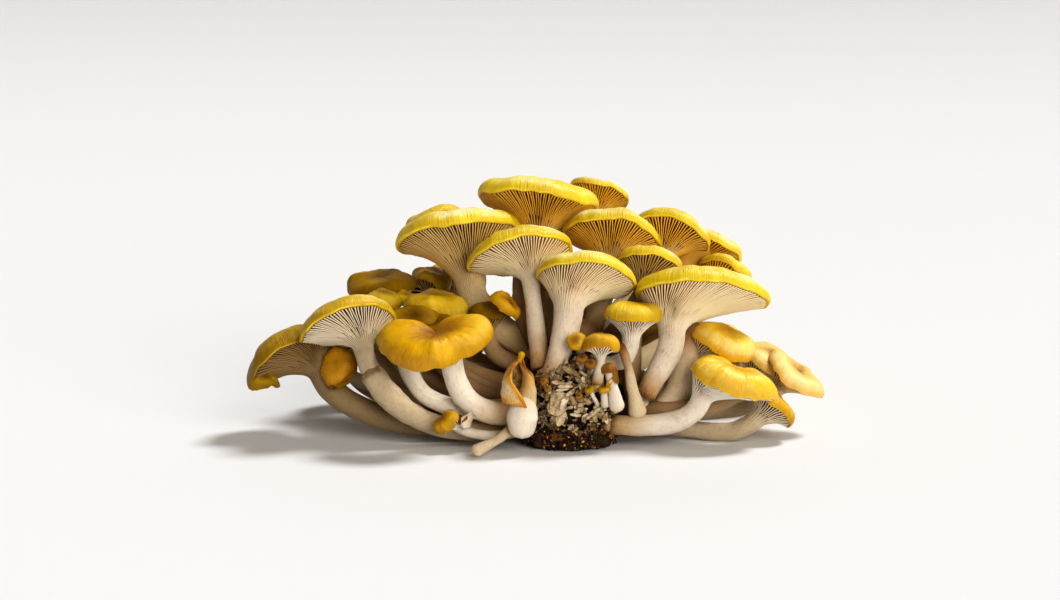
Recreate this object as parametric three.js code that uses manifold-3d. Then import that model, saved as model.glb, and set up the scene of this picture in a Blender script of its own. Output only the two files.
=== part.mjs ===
// A cluster of golden oyster mushrooms, picked whole with the lump of substrate that it grew from.
// Millimetres: +X to the right, +Y to the back, +Z up. The origin is the middle of the flat spot
// on the underside of the substrate, on the surface that the cluster stands on.
//
// Each mushroom is one stem that flares into a ribbed fan of gills, under a convex yellow cap with
// an inrolled margin. Stems are fused at their feet into bunches, and the feet stand in the substrate.
import * as THREE from "three";
import { mergeVertices } from "three/addons/utils/BufferGeometryUtils.js";
import Module from "manifold-3d";

const wasm = await Module();
wasm.setup();

// ---------------------------------------------------------------- driving dimensions
const CLEARANCE = 0.45; // left between neighbours that press on each other
const FLESH_GAP = 0.55; // between a cap's underside and the gill body that carries it
const LIP_DEPTH = 0.07; // how far the margin rolls under, as a share of the cap's half width
const LIP_INSET = 0.94; // where the gills start, as a share of the way out to the margin
const GILL_HEIGHT = 0.09; // height of a gill, as a share of the cap's half width
const CONE_SHARE = 0.35; // how conical the gill fan is; the rest of it is trumpet shaped
const SMALLEST_DETAIL = 0.05; // slivers thinner than this are closed up
const STEM_SIDES = 7;
const STEM_STEPS = 4;

const SUBSTRATE = { at: [-1, 24, 16], half: [20, 36, 22] }; // the block that hides under the stems
const CRUST = { at: [-1, -2, 4.5], half: [17.5, 15, 8] }; // its dark foot, at the front
const HUSKS = { at: [1, -3, 17], half: [15, 13.5, 17] }; // the pale, flaky face of the plug
const HUSK_CHIPS = 34;
const CHIP_SIZE = [6, 2.6, 1.1]; // length, width and thickness of a husk

// One row for each mushroom:
//   at      centre of the cap's margin        half    half widths of the cap, across and along
//   lean    tilt of the cap, in degrees to the right and to the back
//   foot    how far the top of the stem sits from the cap's centre, across and along
//   deep    how far the gills run down        crown   height of the cap above its margin
//   dip     depth of the hollow in the middle of the cap
//   root    start of the stem                 leave   the way the stem sets out, and how firmly
//   arrive  length over which the stem lines up with the cap
//   stem    stem radius at the root and under the gills
//   wave    up and down of the margin         ripple  in and out of the margin, as a share
//   notch   cleft in the margin: where in degrees, how deep as a share, how wide in degrees
//   droop   curl of the margin: where in degrees, how far down, how wide in degrees
//   gills   number of gills
const MUSHROOMS = {
  left_tip: {
    at: [-109.5, 16, 32], half: [19.5, 16], lean: [-27, 30], foot: [8, 0], deep: 12, crown: 8.5, dip: 4,
    root: [-16, 6, 9], leave: [-40, 0, -9], arrive: 18, stem: [4.3, 4.6], droop: [192, 6, 48], gills: 16,
  },
  left_fan: {
    at: [-86, 4, 45.5], half: [19.5, 17], lean: [-12, 34], foot: [4.5, 0], deep: 10, crown: 8, dip: 4,
    root: [-16, -3, 9], leave: [-46, -3, -13], arrive: 12, stem: [4, 3.8], droop: [188, 3.5, 42], gills: 16,
  },
  left_hanging: {
    at: [-90, 8, 28], half: [7.2, 8.5], lean: [-20, -56], foot: [0, 1], deep: 4, crown: 5, dip: 0,
    root: [-20, 8, 10], leave: [-36, -2, 2], arrive: 10, stem: [3, 2.6], ripple: 0.06, gills: 8,
  },
  kidney: {
    at: [-51.5, -15, 42.5], half: [22.8, 17], lean: [-5, -26], foot: [5, 1], deep: 7, crown: 8, dip: 4,
    root: [-19, -9, 13], leave: [-24, -4, -1], arrive: 12, stem: [4.4, 4.1], notch: [94, 0.85, 30],
    gills: 18,
  },
  left_front: {
    at: [-66, 2, 41], half: [10, 9], lean: [-14, 4], foot: [0, 0], deep: 7, crown: 4, dip: 1.5,
    root: [-17, -4, 15], leave: [-38, -4, -4], arrive: 14, stem: [3.8, 3.6], gills: 8,
  },
  left_pocket: {
    at: [-55, 13, 43], half: [11.5, 9], lean: [-2, -20], foot: [3, 1], deep: 6, crown: 3.5, dip: 2,
    root: [-17, 3, 17], leave: [-22, -3, 0], arrive: 14, stem: [3.4, 3], gills: 8,
  },
  left_frill: {
    at: [-53.5, 28, 48.5], half: [13.5, 11], lean: [3, -3], foot: [4, -2], deep: 8, crown: 6, dip: 1,
    root: [-15, 9, 21], leave: [-18, 0, 0], arrive: 14, stem: [3.6, 3.2], wave: 1.6, ripple: 0.06,
    gills: 12,
  },
  left_small: {
    at: [-74, 34, 50], half: [7.5, 7], lean: [8, -8], foot: [0, 0], deep: 6, crown: 4, dip: 0.5,
    root: [-17, 14, 16], leave: [-34, 2, -2], arrive: 16, stem: [3.6, 3], wave: 0.9, gills: 8,
  },
  left_back: {
    at: [-75.5, 52, 53.5], half: [14.4, 13], lean: [-3, -10], foot: [2, 0], deep: 7, crown: 5, dip: 1,
    root: [-17, 24, 15], leave: [-34, 8, -2], arrive: 20, stem: [4, 3.4], gills: 10,
  },
  left_back_small: {
    at: [-56, 60, 54.5], half: [8.4, 8], lean: [14, -6], foot: [0, 0], deep: 6, crown: 4.5, dip: 0.5,
    root: [-15, 28, 19], leave: [-22, 8, 4], arrive: 14, stem: [3.2, 2.8], wave: 1.2, gills: 8,
  },
  left_hidden: {
    at: [-86, 70, 28], half: [15, 13], lean: [-46, 30], foot: [3, 0], deep: 8, crown: 5, dip: 2,
    root: [-16, 30, 12], leave: [-32, 14, -3], arrive: 18, stem: [4.2, 3.6], gills: 10,
  },
  inner_left: {
    at: [-31.5, 22, 47], half: [8.2, 8], lean: [5, -4], foot: [0, 0], deep: 6, crown: 4, dip: 1,
    root: [-15, 15, 27], leave: [-12, 0, 2], arrive: 10, stem: [3.6, 3.2], gills: 8,
  },
  upper_left: {
    at: [-44.2, 42, 75.3], half: [24.8, 20], lean: [-8, 25], foot: [2, 0], deep: 20, crown: 8.5, dip: 4.5,
    root: [-12, 20, 29], leave: [-13, 6, 10], arrive: 12, stem: [5.4, 5.8], droop: [180, 2, 40], gills: 18,
  },
  upper_left_back: {
    at: [-54.4, 68, 77], half: [12, 11], lean: [-16, 22], foot: [2, 0], deep: 9, crown: 5.5, dip: 2,
    root: [-13, 25, 29], leave: [-14, 10, 12], arrive: 14, stem: [3.8, 3.4], gills: 10,
  },
  crest: {
    at: [-12.6, 56, 87.2], half: [24.2, 20], lean: [5, 20], foot: [1, 0], deep: 16, crown: 8.2, dip: 4,
    root: [-3, 28, 36], leave: [-3, 8, 12], arrive: 14, stem: [5, 5], wave: 1.1, gills: 18,
  },
  upper_middle: {
    at: [-20.1, 26, 69.6], half: [20.6, 17], lean: [-8, 35], foot: [3, 0], deep: 11, crown: 7.8, dip: 4,
    root: [-12, -1, 29], leave: [-1, 5, 10], arrive: 12, stem: [3.4, 3.4], droop: [190, 2, 40], gills: 16,
  },
  front_centre: {
    at: [5.6, 12, 62.2], half: [20.2, 16], lean: [4, 37], foot: [-6, 0], deep: 13, crown: 8, dip: 4,
    root: [-9, -6, 24], leave: [4, 2, 10], arrive: 8, stem: [4.3, 5.6], droop: [340, 2, 40], gills: 16,
  },
  crest_right: {
    at: [12, 82, 85.4], half: [12.5, 12], lean: [14, 42], foot: [0, 0], deep: 9, crown: 5, dip: 2.5,
    root: [8, 40, 34], leave: [1, 14, 14], arrive: 14, stem: [3.8, 3.5], gills: 10,
  },
  upper_centre: {
    at: [16.7, 46, 74], half: [20.5, 17], lean: [8, 35], foot: [0, 0], deep: 12, crown: 8, dip: 4,
    root: [7, 24, 36], leave: [3, 6, 12], arrive: 12, stem: [4.3, 4.3], droop: [345, 1.5, 40], gills: 16,
  },
  upper_right: {
    at: [40.9, 52, 74], half: [16.2, 14.5], lean: [20, 35], foot: [-1, 0], deep: 11, crown: 7.2, dip: 3.5,
    root: [13, 26, 32], leave: [10, 8, 12], arrive: 14, stem: [4.3, 4], gills: 14,
  },
  right_shoulder: {
    at: [56.7, 62, 66.5], half: [14, 13], lean: [26, 33], foot: [-2, 0], deep: 9, crown: 6, dip: 3,
    root: [16, 37, 29], leave: [12, 8, 10], arrive: 14, stem: [3.8, 3.5], gills: 10,
  },
  right_shelf: {
    at: [62, 46, 60.5], half: [11, 10], lean: [20, 22], foot: [-2, 0], deep: 8, crown: 5, dip: 2,
    root: [17, 34, 29], leave: [14, 4, 8], arrive: 12, stem: [3.4, 3.1], gills: 10,
  },
  inner_right: {
    at: [30.7, 28, 64.5], half: [13, 12], lean: [14, 34], foot: [-1, 0], deep: 9, crown: 6.8, dip: 3,
    root: [24, 4, 13], leave: [-2, 4, 14], arrive: 14, stem: [3.4, 3.1], gills: 12,
  },
  right_fan: {
    at: [50.7, 14, 55], half: [25.8, 19], lean: [0, 32], foot: [-12, 0], deep: 14, crown: 9.2, dip: 5,
    root: [28, -1, 18], leave: [3, 1, 8], arrive: 10, stem: [4.2, 5], droop: [350, 2, 35], gills: 20,
  },
  button: {
    at: [23.2, 4, 48], half: [11.8, 10], lean: [3, 8], foot: [0, 0], deep: 7, crown: 6.2, dip: 0,
    root: [9, 0, 32], leave: [11, -1, -3], arrive: 7, stem: [2.8, 3.4], gills: 10,
  },
  front_bud: {
    at: [10.8, -13, 40], half: [7.2, 6.5], lean: [0, 2], foot: [0, 0], deep: 4, crown: 5, dip: 0,
    root: [9.5, -16, 26], leave: [0, 0, 4], arrive: 4, stem: [2.1, 1.7], gills: 8,
  },
  right_dome: {
    at: [58.5, 8, 37], half: [12.8, 10], lean: [24, -16], foot: [-5, 1], deep: 8, crown: 6.8, dip: 0,
    root: [22, 11, 15], leave: [18, 3, 4], arrive: 10, stem: [5, 3.8], gills: 10,
  },
  right_low: {
    at: [61, -8, 24.5], half: [18, 12], lean: [20, -2], foot: [-9, 0], deep: 9, crown: 8, dip: 1.5,
    root: [15, -8, 9], leave: [22, 0, -2], arrive: 8, stem: [3.9, 3.9], wave: 1.5, gills: 14,
  },
  right_pale: {
    at: [78, 26, 26.5], half: [13.5, 12], lean: [26, -12], foot: [-3, 0], deep: 7, crown: 5.5, dip: 1,
    root: [21, 20, 13], leave: [26, 4, 2], arrive: 12, stem: [4, 3.6], gills: 8,
  },
  right_tip: {
    at: [87.5, 18, 22.5], half: [13, 12], lean: [36, -12], foot: [-3, 0], deep: 8, crown: 5, dip: 2,
    root: [20, 20, 9], leave: [36, 2, -1], arrive: 12, stem: [4, 3.6], wave: 1, gills: 10,
  },
  right_under: {
    at: [78, 3, 14.5], half: [11, 9], lean: [50, 4], foot: [0, 0], deep: 9, crown: 4.5, dip: 1,
    root: [19, 8, 7], leave: [32, 0, -2], arrive: 14, stem: [3.6, 3.6], gills: 8,
  },
  crumpled: {
    at: [-47, -15, 11], half: [5.2, 5], lean: [-48, -30], foot: [1, 0], deep: 3, crown: 3.5, dip: 0,
    root: [-20, -11, 7], leave: [-12, -3, -3], arrive: 4, stem: [2, 1.9], wave: 0.8, ripple: 0.1, gills: 8,
  },
  back_crown: {
    at: [-19, 96, 68], half: [20, 17], lean: [-6, 48], foot: [0, -2], deep: 9, crown: 7, dip: 3.5,
    root: [-5, 46, 31], leave: [-2, 12, 12], arrive: 14, stem: [4.6, 4.4], gills: 12,
  },
  back_centre: {
    at: [-6, 108, 38], half: [18.5, 15], lean: [-2, 66], foot: [0, -3], deep: 9, crown: 6, dip: 3,
    root: [-2, 54, 19], leave: [0, 22, -2], arrive: 16, stem: [4.4, 4], gills: 12,
  },
  back_right_high: {
    at: [34, 94, 58], half: [19, 16], lean: [24, 50], foot: [0, -2], deep: 9, crown: 6.5, dip: 3.5,
    root: [8, 48, 28], leave: [8, 14, 10], arrive: 14, stem: [4.4, 4.2], gills: 12,
  },
  back_right_low: {
    at: [41, 97, 30], half: [17, 14], lean: [36, 58], foot: [0, -3], deep: 9, crown: 5.5, dip: 3,
    root: [11, 50, 16], leave: [16, 18, -2], arrive: 16, stem: [4.2, 3.8], gills: 10,
  },
  right_hidden: {
    at: [71, 62, 24], half: [15, 12], lean: [54, 28], foot: [0, -2], deep: 8, crown: 5, dip: 2,
    root: [15, 45, 17], leave: [22, 8, -3], arrive: 16, stem: [4.2, 3.6], gills: 10,
  },
  back_left_high: {
    at: [-51, 90, 46], half: [18, 16], lean: [-26, 44], foot: [0, -3], deep: 9, crown: 6, dip: 3,
    root: [-9, 46, 28], leave: [-12, 12, 6], arrive: 14, stem: [4.4, 4], gills: 12,
  },
  back_left_low: {
    at: [-48, 100, 21], half: [16, 13], lean: [-40, 58], foot: [0, -2], deep: 9, crown: 5.5, dip: 2.5,
    root: [-10, 50, 14], leave: [-16, 18, -4], arrive: 16, stem: [4.2, 3.6], gills: 10,
  },
};

// Mushrooms whose stems are fused at the foot: the foot's centre and radius, and who stands on it.
// Shoots are stems that never bore a cap, crowded in between the others.
const BUNCHES = {
  stems_left_low: {
    foot: [-16, 4, 9], radius: 7.5, of: ["left_tip", "left_fan", "left_hanging"],
    shoots: [
      { spine: [[-18, 8, 12], [-42, 13, 9], [-64, 17, 15], [-76, 20, 31]], girth: [4, 5, 4.6, 2.4] },
    ],
  },
  stems_left_front: { foot: [-18, -8, 12], radius: 6, of: ["kidney", "left_front", "crumpled"] },
  stems_left_middle: {
    foot: [-16, 6, 20], radius: 6, of: ["left_pocket", "left_frill"],
    shoots: [
      { spine: [[-16, 9, 20], [-34, 13, 19], [-49, 18, 27], [-56, 22, 37]], girth: [4, 4.6, 4.4, 2.4] },
    ],
  },
  stems_left_back: {
    foot: [-19, 24, 17], radius: 9, of: ["left_small", "left_back", "left_back_small", "left_hidden"],
  },
  stems_upper_left: {
    foot: [-13, 19, 29], radius: 8.5, of: ["inner_left", "upper_left", "upper_left_back"],
  },
  stems_upper_front: { foot: [-10, -3, 26], radius: 6, of: ["upper_middle", "front_centre"] },
  stems_crest: {
    foot: [5, 25, 37], radius: 9, of: ["crest", "upper_centre", "upper_right"],
    shoots: [{ spine: [[-4, 20, 35], [-8, 22, 43], [-9, 28, 53], [-9, 36, 62]], girth: [4, 4.4, 4, 2.2] }],
  },
  stems_right_back: {
    foot: [15, 37, 31], radius: 9.5, of: ["crest_right", "right_shoulder", "right_shelf"],
  },
  stems_right_front: { foot: [26, 2, 15], radius: 5.5, of: ["inner_right", "right_fan"] },
  stem_button: { foot: [9, 0, 32], radius: 4, of: ["button"] },
  stem_front_bud: { foot: [9.5, -15.5, 26], radius: 2.6, of: ["front_bud"] },
  stem_right_low: { foot: [14, -8, 9], radius: 5, of: ["right_low"] },
  stems_right_side: {
    foot: [20, 15, 11], radius: 8, of: ["right_dome", "right_pale", "right_tip", "right_under"],
    shoots: [
      { spine: [[20, 16, 16], [35, 19, 20], [45, 23, 29], [50, 28, 40]], girth: [3.6, 4.6, 4, 2.2] },
    ],
  },
  stems_back: { foot: [-3, 49, 25], radius: 9, of: ["back_crown", "back_centre"] },
  stems_back_right: {
    foot: [13, 48, 20], radius: 9.5, of: ["back_right_high", "back_right_low", "right_hidden"],
  },
  stems_back_left: { foot: [-12, 51, 21], radius: 9.5, of: ["back_left_high", "back_left_low"] },
};

// The withered young mushroom at the front: a pale bulb under a curled, open hood.
const WITHERED = {
  spine: [
    [-20, -19, 5], [-20, -20, 11], [-20, -20, 17], [-21, -18.5, 25], [-21, -17.5, 31], [-19, -17, 36],
  ],
  girth: [3.4, 6, 5.2, 5.2, 4, 1.2],
  mouth: { at: [-17.5, -22.5, 27], half: [3, 4.2, 6.5] },
};

// A finger-shaped mushroom that never opened, lying at the front.
const FINGER = { spine: [[-22, -14, 9.5], [-28, -21, 6], [-36, -28, 3.2]], girth: [2.1, 1.7, 2] };

const COLOURS = {
  cap: 0xe6b81e,
  flesh: 0xe4d6bd,
  husk: 0xb9a483,
  substrate: 0x35261a,
};

// ---------------------------------------------------------------- small helpers
const vec = (list) => new THREE.Vector3(...list);
const radians = THREE.MathUtils.degToRad;
const mix = THREE.MathUtils.lerp;
const materialOf = (colour, roughness) =>
  new THREE.MeshStandardMaterial({ color: colour, roughness, metalness: 0 });

// The same number between 0 and 1 each time for a seed and an index.
function chance(seed, index) {
  const wild = Math.sin(seed * 12.9898 + index * 78.233) * 43758.5453;
  return wild - Math.floor(wild);
}

// A seed from a name, so that each mushroom has its own shape.
const seedOf = (name) => [...name].reduce((sum, letter) => sum + letter.charCodeAt(0), 0) % 97;

// A closed surface, put together from rings of points.
class Skin {
  points = [];
  faces = [];

  point(p) {
    this.points.push(p.x, p.y, p.z);
    return this.points.length / 3 - 1;
  }

  ring(list) {
    return list.map((p) => this.point(p));
  }

  // Joins ring a to the next ring b, which may have another number of points.
  band(a, b) {
    let i = 0;
    let j = 0;
    while (i < a.length || j < b.length) {
      const nextA = a[(i + 1) % a.length];
      const nextB = b[(j + 1) % b.length];
      if ((i + 1) * b.length <= (j + 1) * a.length && i < a.length) {
        this.faces.push(a[i % a.length], nextA, b[j % b.length]);
        i += 1;
      } else {
        this.faces.push(a[i % a.length], nextB, b[j % b.length]);
        j += 1;
      }
    }
  }

  startFrom(tip, ring) {
    ring.forEach((p, i) => this.faces.push(tip, ring[(i + 1) % ring.length], p));
  }

  endAt(ring, tip) {
    ring.forEach((p, i) => this.faces.push(tip, p, ring[(i + 1) % ring.length]));
  }

  solid() {
    return new wasm.Manifold(
      new wasm.Mesh({
        numProp: 3,
        vertProperties: new Float32Array(this.points),
        triVerts: new Uint32Array(this.faces),
      }),
    );
  }
}

// A three.js geometry as a solid.
function solidFrom(geometry) {
  geometry.deleteAttribute("normal");
  geometry.deleteAttribute("uv");
  const merged = mergeVertices(geometry, 1e-4);
  return new wasm.Manifold(
    new wasm.Mesh({
      numProp: 3,
      vertProperties: merged.attributes.position.array,
      triVerts: new Uint32Array(merged.index.array),
    }),
  );
}

function meshOf(name, solid, material) {
  const made = solid.getMesh();
  const geometry = new THREE.BufferGeometry();
  geometry.setAttribute("position", new THREE.BufferAttribute(new Float32Array(made.vertProperties), 3));
  geometry.setIndex(new THREE.BufferAttribute(new Uint32Array(made.triVerts), 1));
  geometry.computeVertexNormals();
  const mesh = new THREE.Mesh(geometry, material);
  mesh.name = name;
  return mesh;
}

// ---------------------------------------------------------------- one mushroom
// The cap's own axes: across, along and up through the crown.
function capAxes(m) {
  const up = new THREE.Vector3(Math.tan(radians(m.lean[0])), Math.tan(radians(m.lean[1])), 1).normalize();
  const across = new THREE.Vector3(1, 0, 0).addScaledVector(up, -up.x).normalize();
  const along = up.clone().cross(across);
  return { up, across, along };
}

// 1 at the angle where a notch or a droop is, falling to nothing past its width.
function nearness([where, , wide], angle) {
  const off = angle - radians(where);
  return Math.exp(-((Math.atan2(Math.sin(off), Math.cos(off)) / radians(wide)) ** 2));
}

// Radius and rise of the margin at an angle, both in millimetres.
function margin(m, angle) {
  const ellipse = 1 / Math.hypot(Math.cos(angle) / m.half[0], Math.sin(angle) / m.half[1]);
  let stretch = 1;
  let rise = 0;
  for (let k = 2; k <= 5; k += 1) {
    const turn = 2 * Math.PI * chance(m.seed, k);
    stretch += (m.ripple / (k - 1)) * Math.cos(k * angle + turn);
    rise += (m.wave / (k - 1)) * Math.cos(k * angle + 2 * turn);
  }
  if (m.notch) stretch *= 1 - m.notch[1] * nearness(m.notch, angle);
  if (m.droop) rise -= m.droop[1] * nearness(m.droop, angle);
  return { radius: ellipse * stretch, rise };
}

// Points round the cap at a share of the way out to the margin, lifted by a height.
function capRing(m, axes, share, height, grow) {
  return Array.from({ length: m.gills }, (_, i) => {
    const angle = (2 * Math.PI * i) / m.gills;
    const { radius, rise } = margin(m, angle);
    const out = radius * share + grow;
    const sunk = m.notch && height > 0 ? 1 - m.notch[1] * nearness(m.notch, angle) * Math.sqrt(share) : 1;
    return vec(m.at)
      .addScaledVector(axes.across, out * Math.cos(angle))
      .addScaledVector(axes.along, out * Math.sin(angle))
      .addScaledVector(axes.up, height * sunk + rise * share * share);
  });
}

// Height of the top of the cap: a dome that is steep at the margin, less the hollow in its middle.
const capHeight = (m, share) =>
  m.crown * Math.sqrt(1 - share ** 3) - m.dip * Math.exp(-((share / 0.42) ** 2));

const WIDE_CAP = [1, 0.84, 0.45]; // shares of the way out at which the top of a cap has a ring
const SMALL_CAP = [1, 0.7];

const lipOf = (m) => LIP_DEPTH * m.half[0];
const roofOf = (m) => Math.min(0.3 * m.crown, m.crown - m.dip - 2);

function capSolid(m, grow = 0) {
  const axes = capAxes(m);
  const skin = new Skin();
  const middle = (height) => skin.point(vec(m.at).addScaledVector(axes.up, height));
  let ring = skin.ring(capRing(m, axes, LIP_INSET, -lipOf(m) - grow, grow));
  skin.startFrom(middle(roofOf(m) - grow), ring);
  for (const share of m.gills > 12 ? WIDE_CAP : SMALL_CAP) {
    const next = skin.ring(capRing(m, axes, share, capHeight(m, share) + grow, grow * share));
    skin.band(ring, next);
    ring = next;
  }
  skin.endAt(ring, middle(capHeight(m, 0) + grow));
  return skin.solid();
}

// How far below the lip the gills lie, as a share of their depth: 1 at the stem and 0 at the margin.
const gillFall = (out) => CONE_SHARE * (1 - out) + (1 - CONE_SHARE) * (1 - Math.sqrt(2 * out - out * out));

// How much of a gill's height stands at a share of the way out.
const gillStand = (out) => THREE.MathUtils.smoothstep(out, 0, 0.2) * (1 - 0.7 * out * out);

const DEEP_FAN = [0.22, 0.58, 1]; // shares of the way out at which a deep fan of gills has a ring
const FLAT_FAN = [0.4, 1];

// The flared underside, with a ridge for each gill between two valleys.
// Grown, for clearing neighbours, it is smooth at the height of the ridges.
function gillRing(m, axes, out, grow) {
  const steps = grow ? m.gills : 2 * m.gills;
  const lip = capRing(m, axes, LIP_INSET, -lipOf(m) - FLESH_GAP, grow - 0.3);
  const hub = vec(m.at).addScaledVector(axes.up, -lipOf(m) - FLESH_GAP - m.deep * gillFall(out));
  hub.addScaledVector(axes.across, m.foot[0] * (1 - out)).addScaledVector(axes.along, m.foot[1] * (1 - out));
  const relief = GILL_HEIGHT * m.half[0] * gillStand(out);
  const sunk = mix(1, 0.15, out); // near the stem a gill stands out sideways, at the margin it hangs down
  return Array.from({ length: steps }, (_, i) => {
    const column = (i * m.gills) / steps;
    const beside = lip[Math.ceil(column) % m.gills];
    const edge = lip[Math.floor(column)].clone().lerp(beside, 0.5).sub(vec(m.at));
    const angle = (2 * Math.PI * i) / steps;
    const side = grow || i % 2 ? relief : 0;
    const girth = m.stem[1] + side * sunk;
    const thick = grow ? girth / Math.cos(Math.PI / steps) + grow : girth;
    const a = mix(thick * Math.cos(angle), edge.dot(axes.across), out);
    const b = mix(thick * Math.sin(angle), edge.dot(axes.along), out);
    const rise = (edge.dot(axes.up) + lipOf(m) + FLESH_GAP) * out * out - side * (1 - 0.6 * sunk) - grow;
    return hub
      .clone()
      .addScaledVector(axes.across, a)
      .addScaledVector(axes.along, b)
      .addScaledVector(axes.up, rise);
  });
}

// The curve down the middle of the stem, from its root to the top of the stem.
function stemCurve(m, axes) {
  const top = vec(m.at)
    .addScaledVector(axes.across, m.foot[0])
    .addScaledVector(axes.along, m.foot[1])
    .addScaledVector(axes.up, -lipOf(m) - FLESH_GAP - m.deep);
  const root = vec(m.root);
  const before = top.clone().addScaledVector(axes.up, -m.arrive);
  return new THREE.CubicBezierCurve3(root, root.clone().add(vec(m.leave)), before, top);
}

// Rings of the stem from the root up. Their sides keep in line with the cap's axes.
function stemRings(m, axes, grow) {
  const curve = stemCurve(m, axes);
  const rings = [];
  let across = axes.across.clone();
  for (let step = STEM_STEPS; step >= 0; step -= 1) {
    const t = step / STEM_STEPS;
    const way = curve.getTangent(t);
    across = across.clone().addScaledVector(way, -across.dot(way)).normalize();
    const along = way.clone().cross(across);
    const radius = mix(m.stem[0], m.stem[1], t) + grow;
    const middle = curve.getPoint(t);
    rings.unshift(
      Array.from({ length: STEM_SIDES }, (_, i) => {
        const angle = (2 * Math.PI * i) / STEM_SIDES;
        return middle
          .clone()
          .addScaledVector(across, radius * Math.cos(angle))
          .addScaledVector(along, radius * Math.sin(angle));
      }),
    );
  }
  return rings;
}

function stemSolid(m, grow = 0) {
  const axes = capAxes(m);
  const skin = new Skin();
  const rings = stemRings(m, axes, grow).map((list) => skin.ring(list));
  skin.startFrom(skin.point(vec(m.root)), rings[0]);
  let last = rings[0];
  for (const next of rings.slice(1)) {
    skin.band(last, next);
    last = next;
  }
  for (const out of m.deep < 10 ? FLAT_FAN : DEEP_FAN) {
    const next = skin.ring(gillRing(m, axes, out, grow));
    skin.band(last, next);
    last = next;
  }
  if (grow) {
    const over = gillRing(m, axes, 1, grow).map((p) => p.addScaledVector(axes.up, 2 * grow));
    const next = skin.ring(over);
    skin.band(last, next);
    last = next;
  }
  skin.endAt(last, skin.point(vec(m.at).addScaledVector(axes.up, roofOf(m) - FLESH_GAP)));
  return skin.solid();
}

// A solid round a curve, with a girth given at each of its points.
function limb({ spine, girth }, grow = 0) {
  const curve = new THREE.CatmullRomCurve3(spine.map(vec));
  const steps = 2 * (spine.length - 1);
  const skin = new Skin();
  let last = null;
  let across = new THREE.Vector3(1, 0, 0);
  for (let step = 0; step <= steps; step += 1) {
    const t = step / steps;
    const way = curve.getTangent(t);
    across = across.clone().addScaledVector(way, -across.dot(way)).normalize();
    const along = way.clone().cross(across);
    const before = Math.min(Math.floor(t * (girth.length - 1)), girth.length - 2);
    const radius = mix(girth[before], girth[before + 1], t * (girth.length - 1) - before) + grow;
    const middle = curve.getPoint(t);
    const ring = skin.ring(
      Array.from({ length: STEM_SIDES }, (_, i) => {
        const angle = (2 * Math.PI * i) / STEM_SIDES;
        return middle
          .clone()
          .addScaledVector(across, radius * Math.cos(angle))
          .addScaledVector(along, radius * Math.sin(angle));
      }),
    );
    const cap = middle.clone().addScaledVector(way, (step ? 0.5 : -0.5) * radius);
    if (last) skin.band(last, ring);
    else skin.startFrom(skin.point(cap), ring);
    if (step === steps) skin.endAt(ring, skin.point(cap));
    last = ring;
  }
  return skin.solid();
}

// ---------------------------------------------------------------- lumps
// A rough ball: an icosphere stretched to its half sizes, with bumps from a formula.
function lump(shape, detail, rough, seed, grow = 0) {
  const geometry = new THREE.IcosahedronGeometry(1, detail);
  const spots = geometry.attributes.position;
  for (let i = 0; i < spots.count; i += 1) {
    const p = new THREE.Vector3().fromBufferAttribute(spots, i).normalize();
    const bump =
      Math.sin(5.1 * p.x + seed) * Math.cos(4.3 * p.y - seed) +
      0.7 * Math.sin(7.7 * p.z + 3.1 * p.x + 2 * seed) +
      0.5 * Math.cos(9.3 * p.y + 6.1 * p.z);
    p.multiplyScalar(1 + rough * bump).multiply(vec(shape.half).addScalar(grow)).add(vec(shape.at));
    spots.setXYZ(i, p.x, p.y, p.z);
  }
  return solidFrom(geometry);
}

// Takes away what lies under the surface that the cluster stands on.
function restOnGround(solid) {
  const below = new THREE.BoxGeometry(400, 400, 100);
  below.translate(0, 0, -50);
  return solid.subtract(solidFrom(below));
}

// Husks scattered over the front of the plug, each sunk half into it.
function huskChips() {
  const chips = [];
  for (let i = 0; i < HUSK_CHIPS; i += 1) {
    const level = mix(-0.75, 0.95, (i + 0.5) / HUSK_CHIPS);
    const turn = i * 2.399963; // the golden angle spreads them evenly
    const flat = Math.sqrt(1 - level * level);
    const way = new THREE.Vector3(flat * Math.cos(turn), flat * Math.sin(turn), level);
    const chip = new THREE.OctahedronGeometry(1);
    const [long, wide, thick] = CHIP_SIZE;
    const size = mix(0.75, 1.25, chance(3, i));
    chip.scale(long * 0.5 * size, wide * 0.5 * size, thick * 0.7);
    const facing = new THREE.Quaternion().setFromUnitVectors(new THREE.Vector3(0, 0, 1), way);
    const spin = new THREE.Quaternion().setFromAxisAngle(way, 2 * Math.PI * chance(7, i));
    const lean = mix(-0.6, 0.6, chance(11, i));
    const tip = new THREE.Quaternion().setFromAxisAngle(new THREE.Vector3(1, 0, 0), lean);
    chip.applyQuaternion(tip).applyQuaternion(facing).applyQuaternion(spin);
    const spot = way.multiply(vec(HUSKS.half)).add(vec(HUSKS.at));
    chip.translate(spot.x, spot.y, spot.z);
    chips.push(solidFrom(chip));
  }
  return chips;
}

// ---------------------------------------------------------------- the cluster
const reach = (solid) => solid.boundingBox();
const meets = (a, b) => [0, 1, 2].every((k) => a.min[k] < b.max[k] && b.min[k] < a.max[k]);

// A solid with its neighbours' space taken out, less any scrap that this cuts loose.
function clearOf(solid, neighbours) {
  let left = solid;
  for (const other of neighbours) {
    if (meets(reach(left), reach(other))) left = left.subtract(other);
  }
  const bodies = left.simplify(SMALLEST_DETAIL).decompose();
  return bodies.reduce((most, body) => (body.volume() > most.volume() ? body : most));
}

function fullRow([name, row]) {
  return [name, { wave: 0.7, ripple: 0.025, ...row, name, seed: seedOf(name) }];
}

const mushrooms = Object.fromEntries(Object.entries(MUSHROOMS).map(fullRow));

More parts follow.
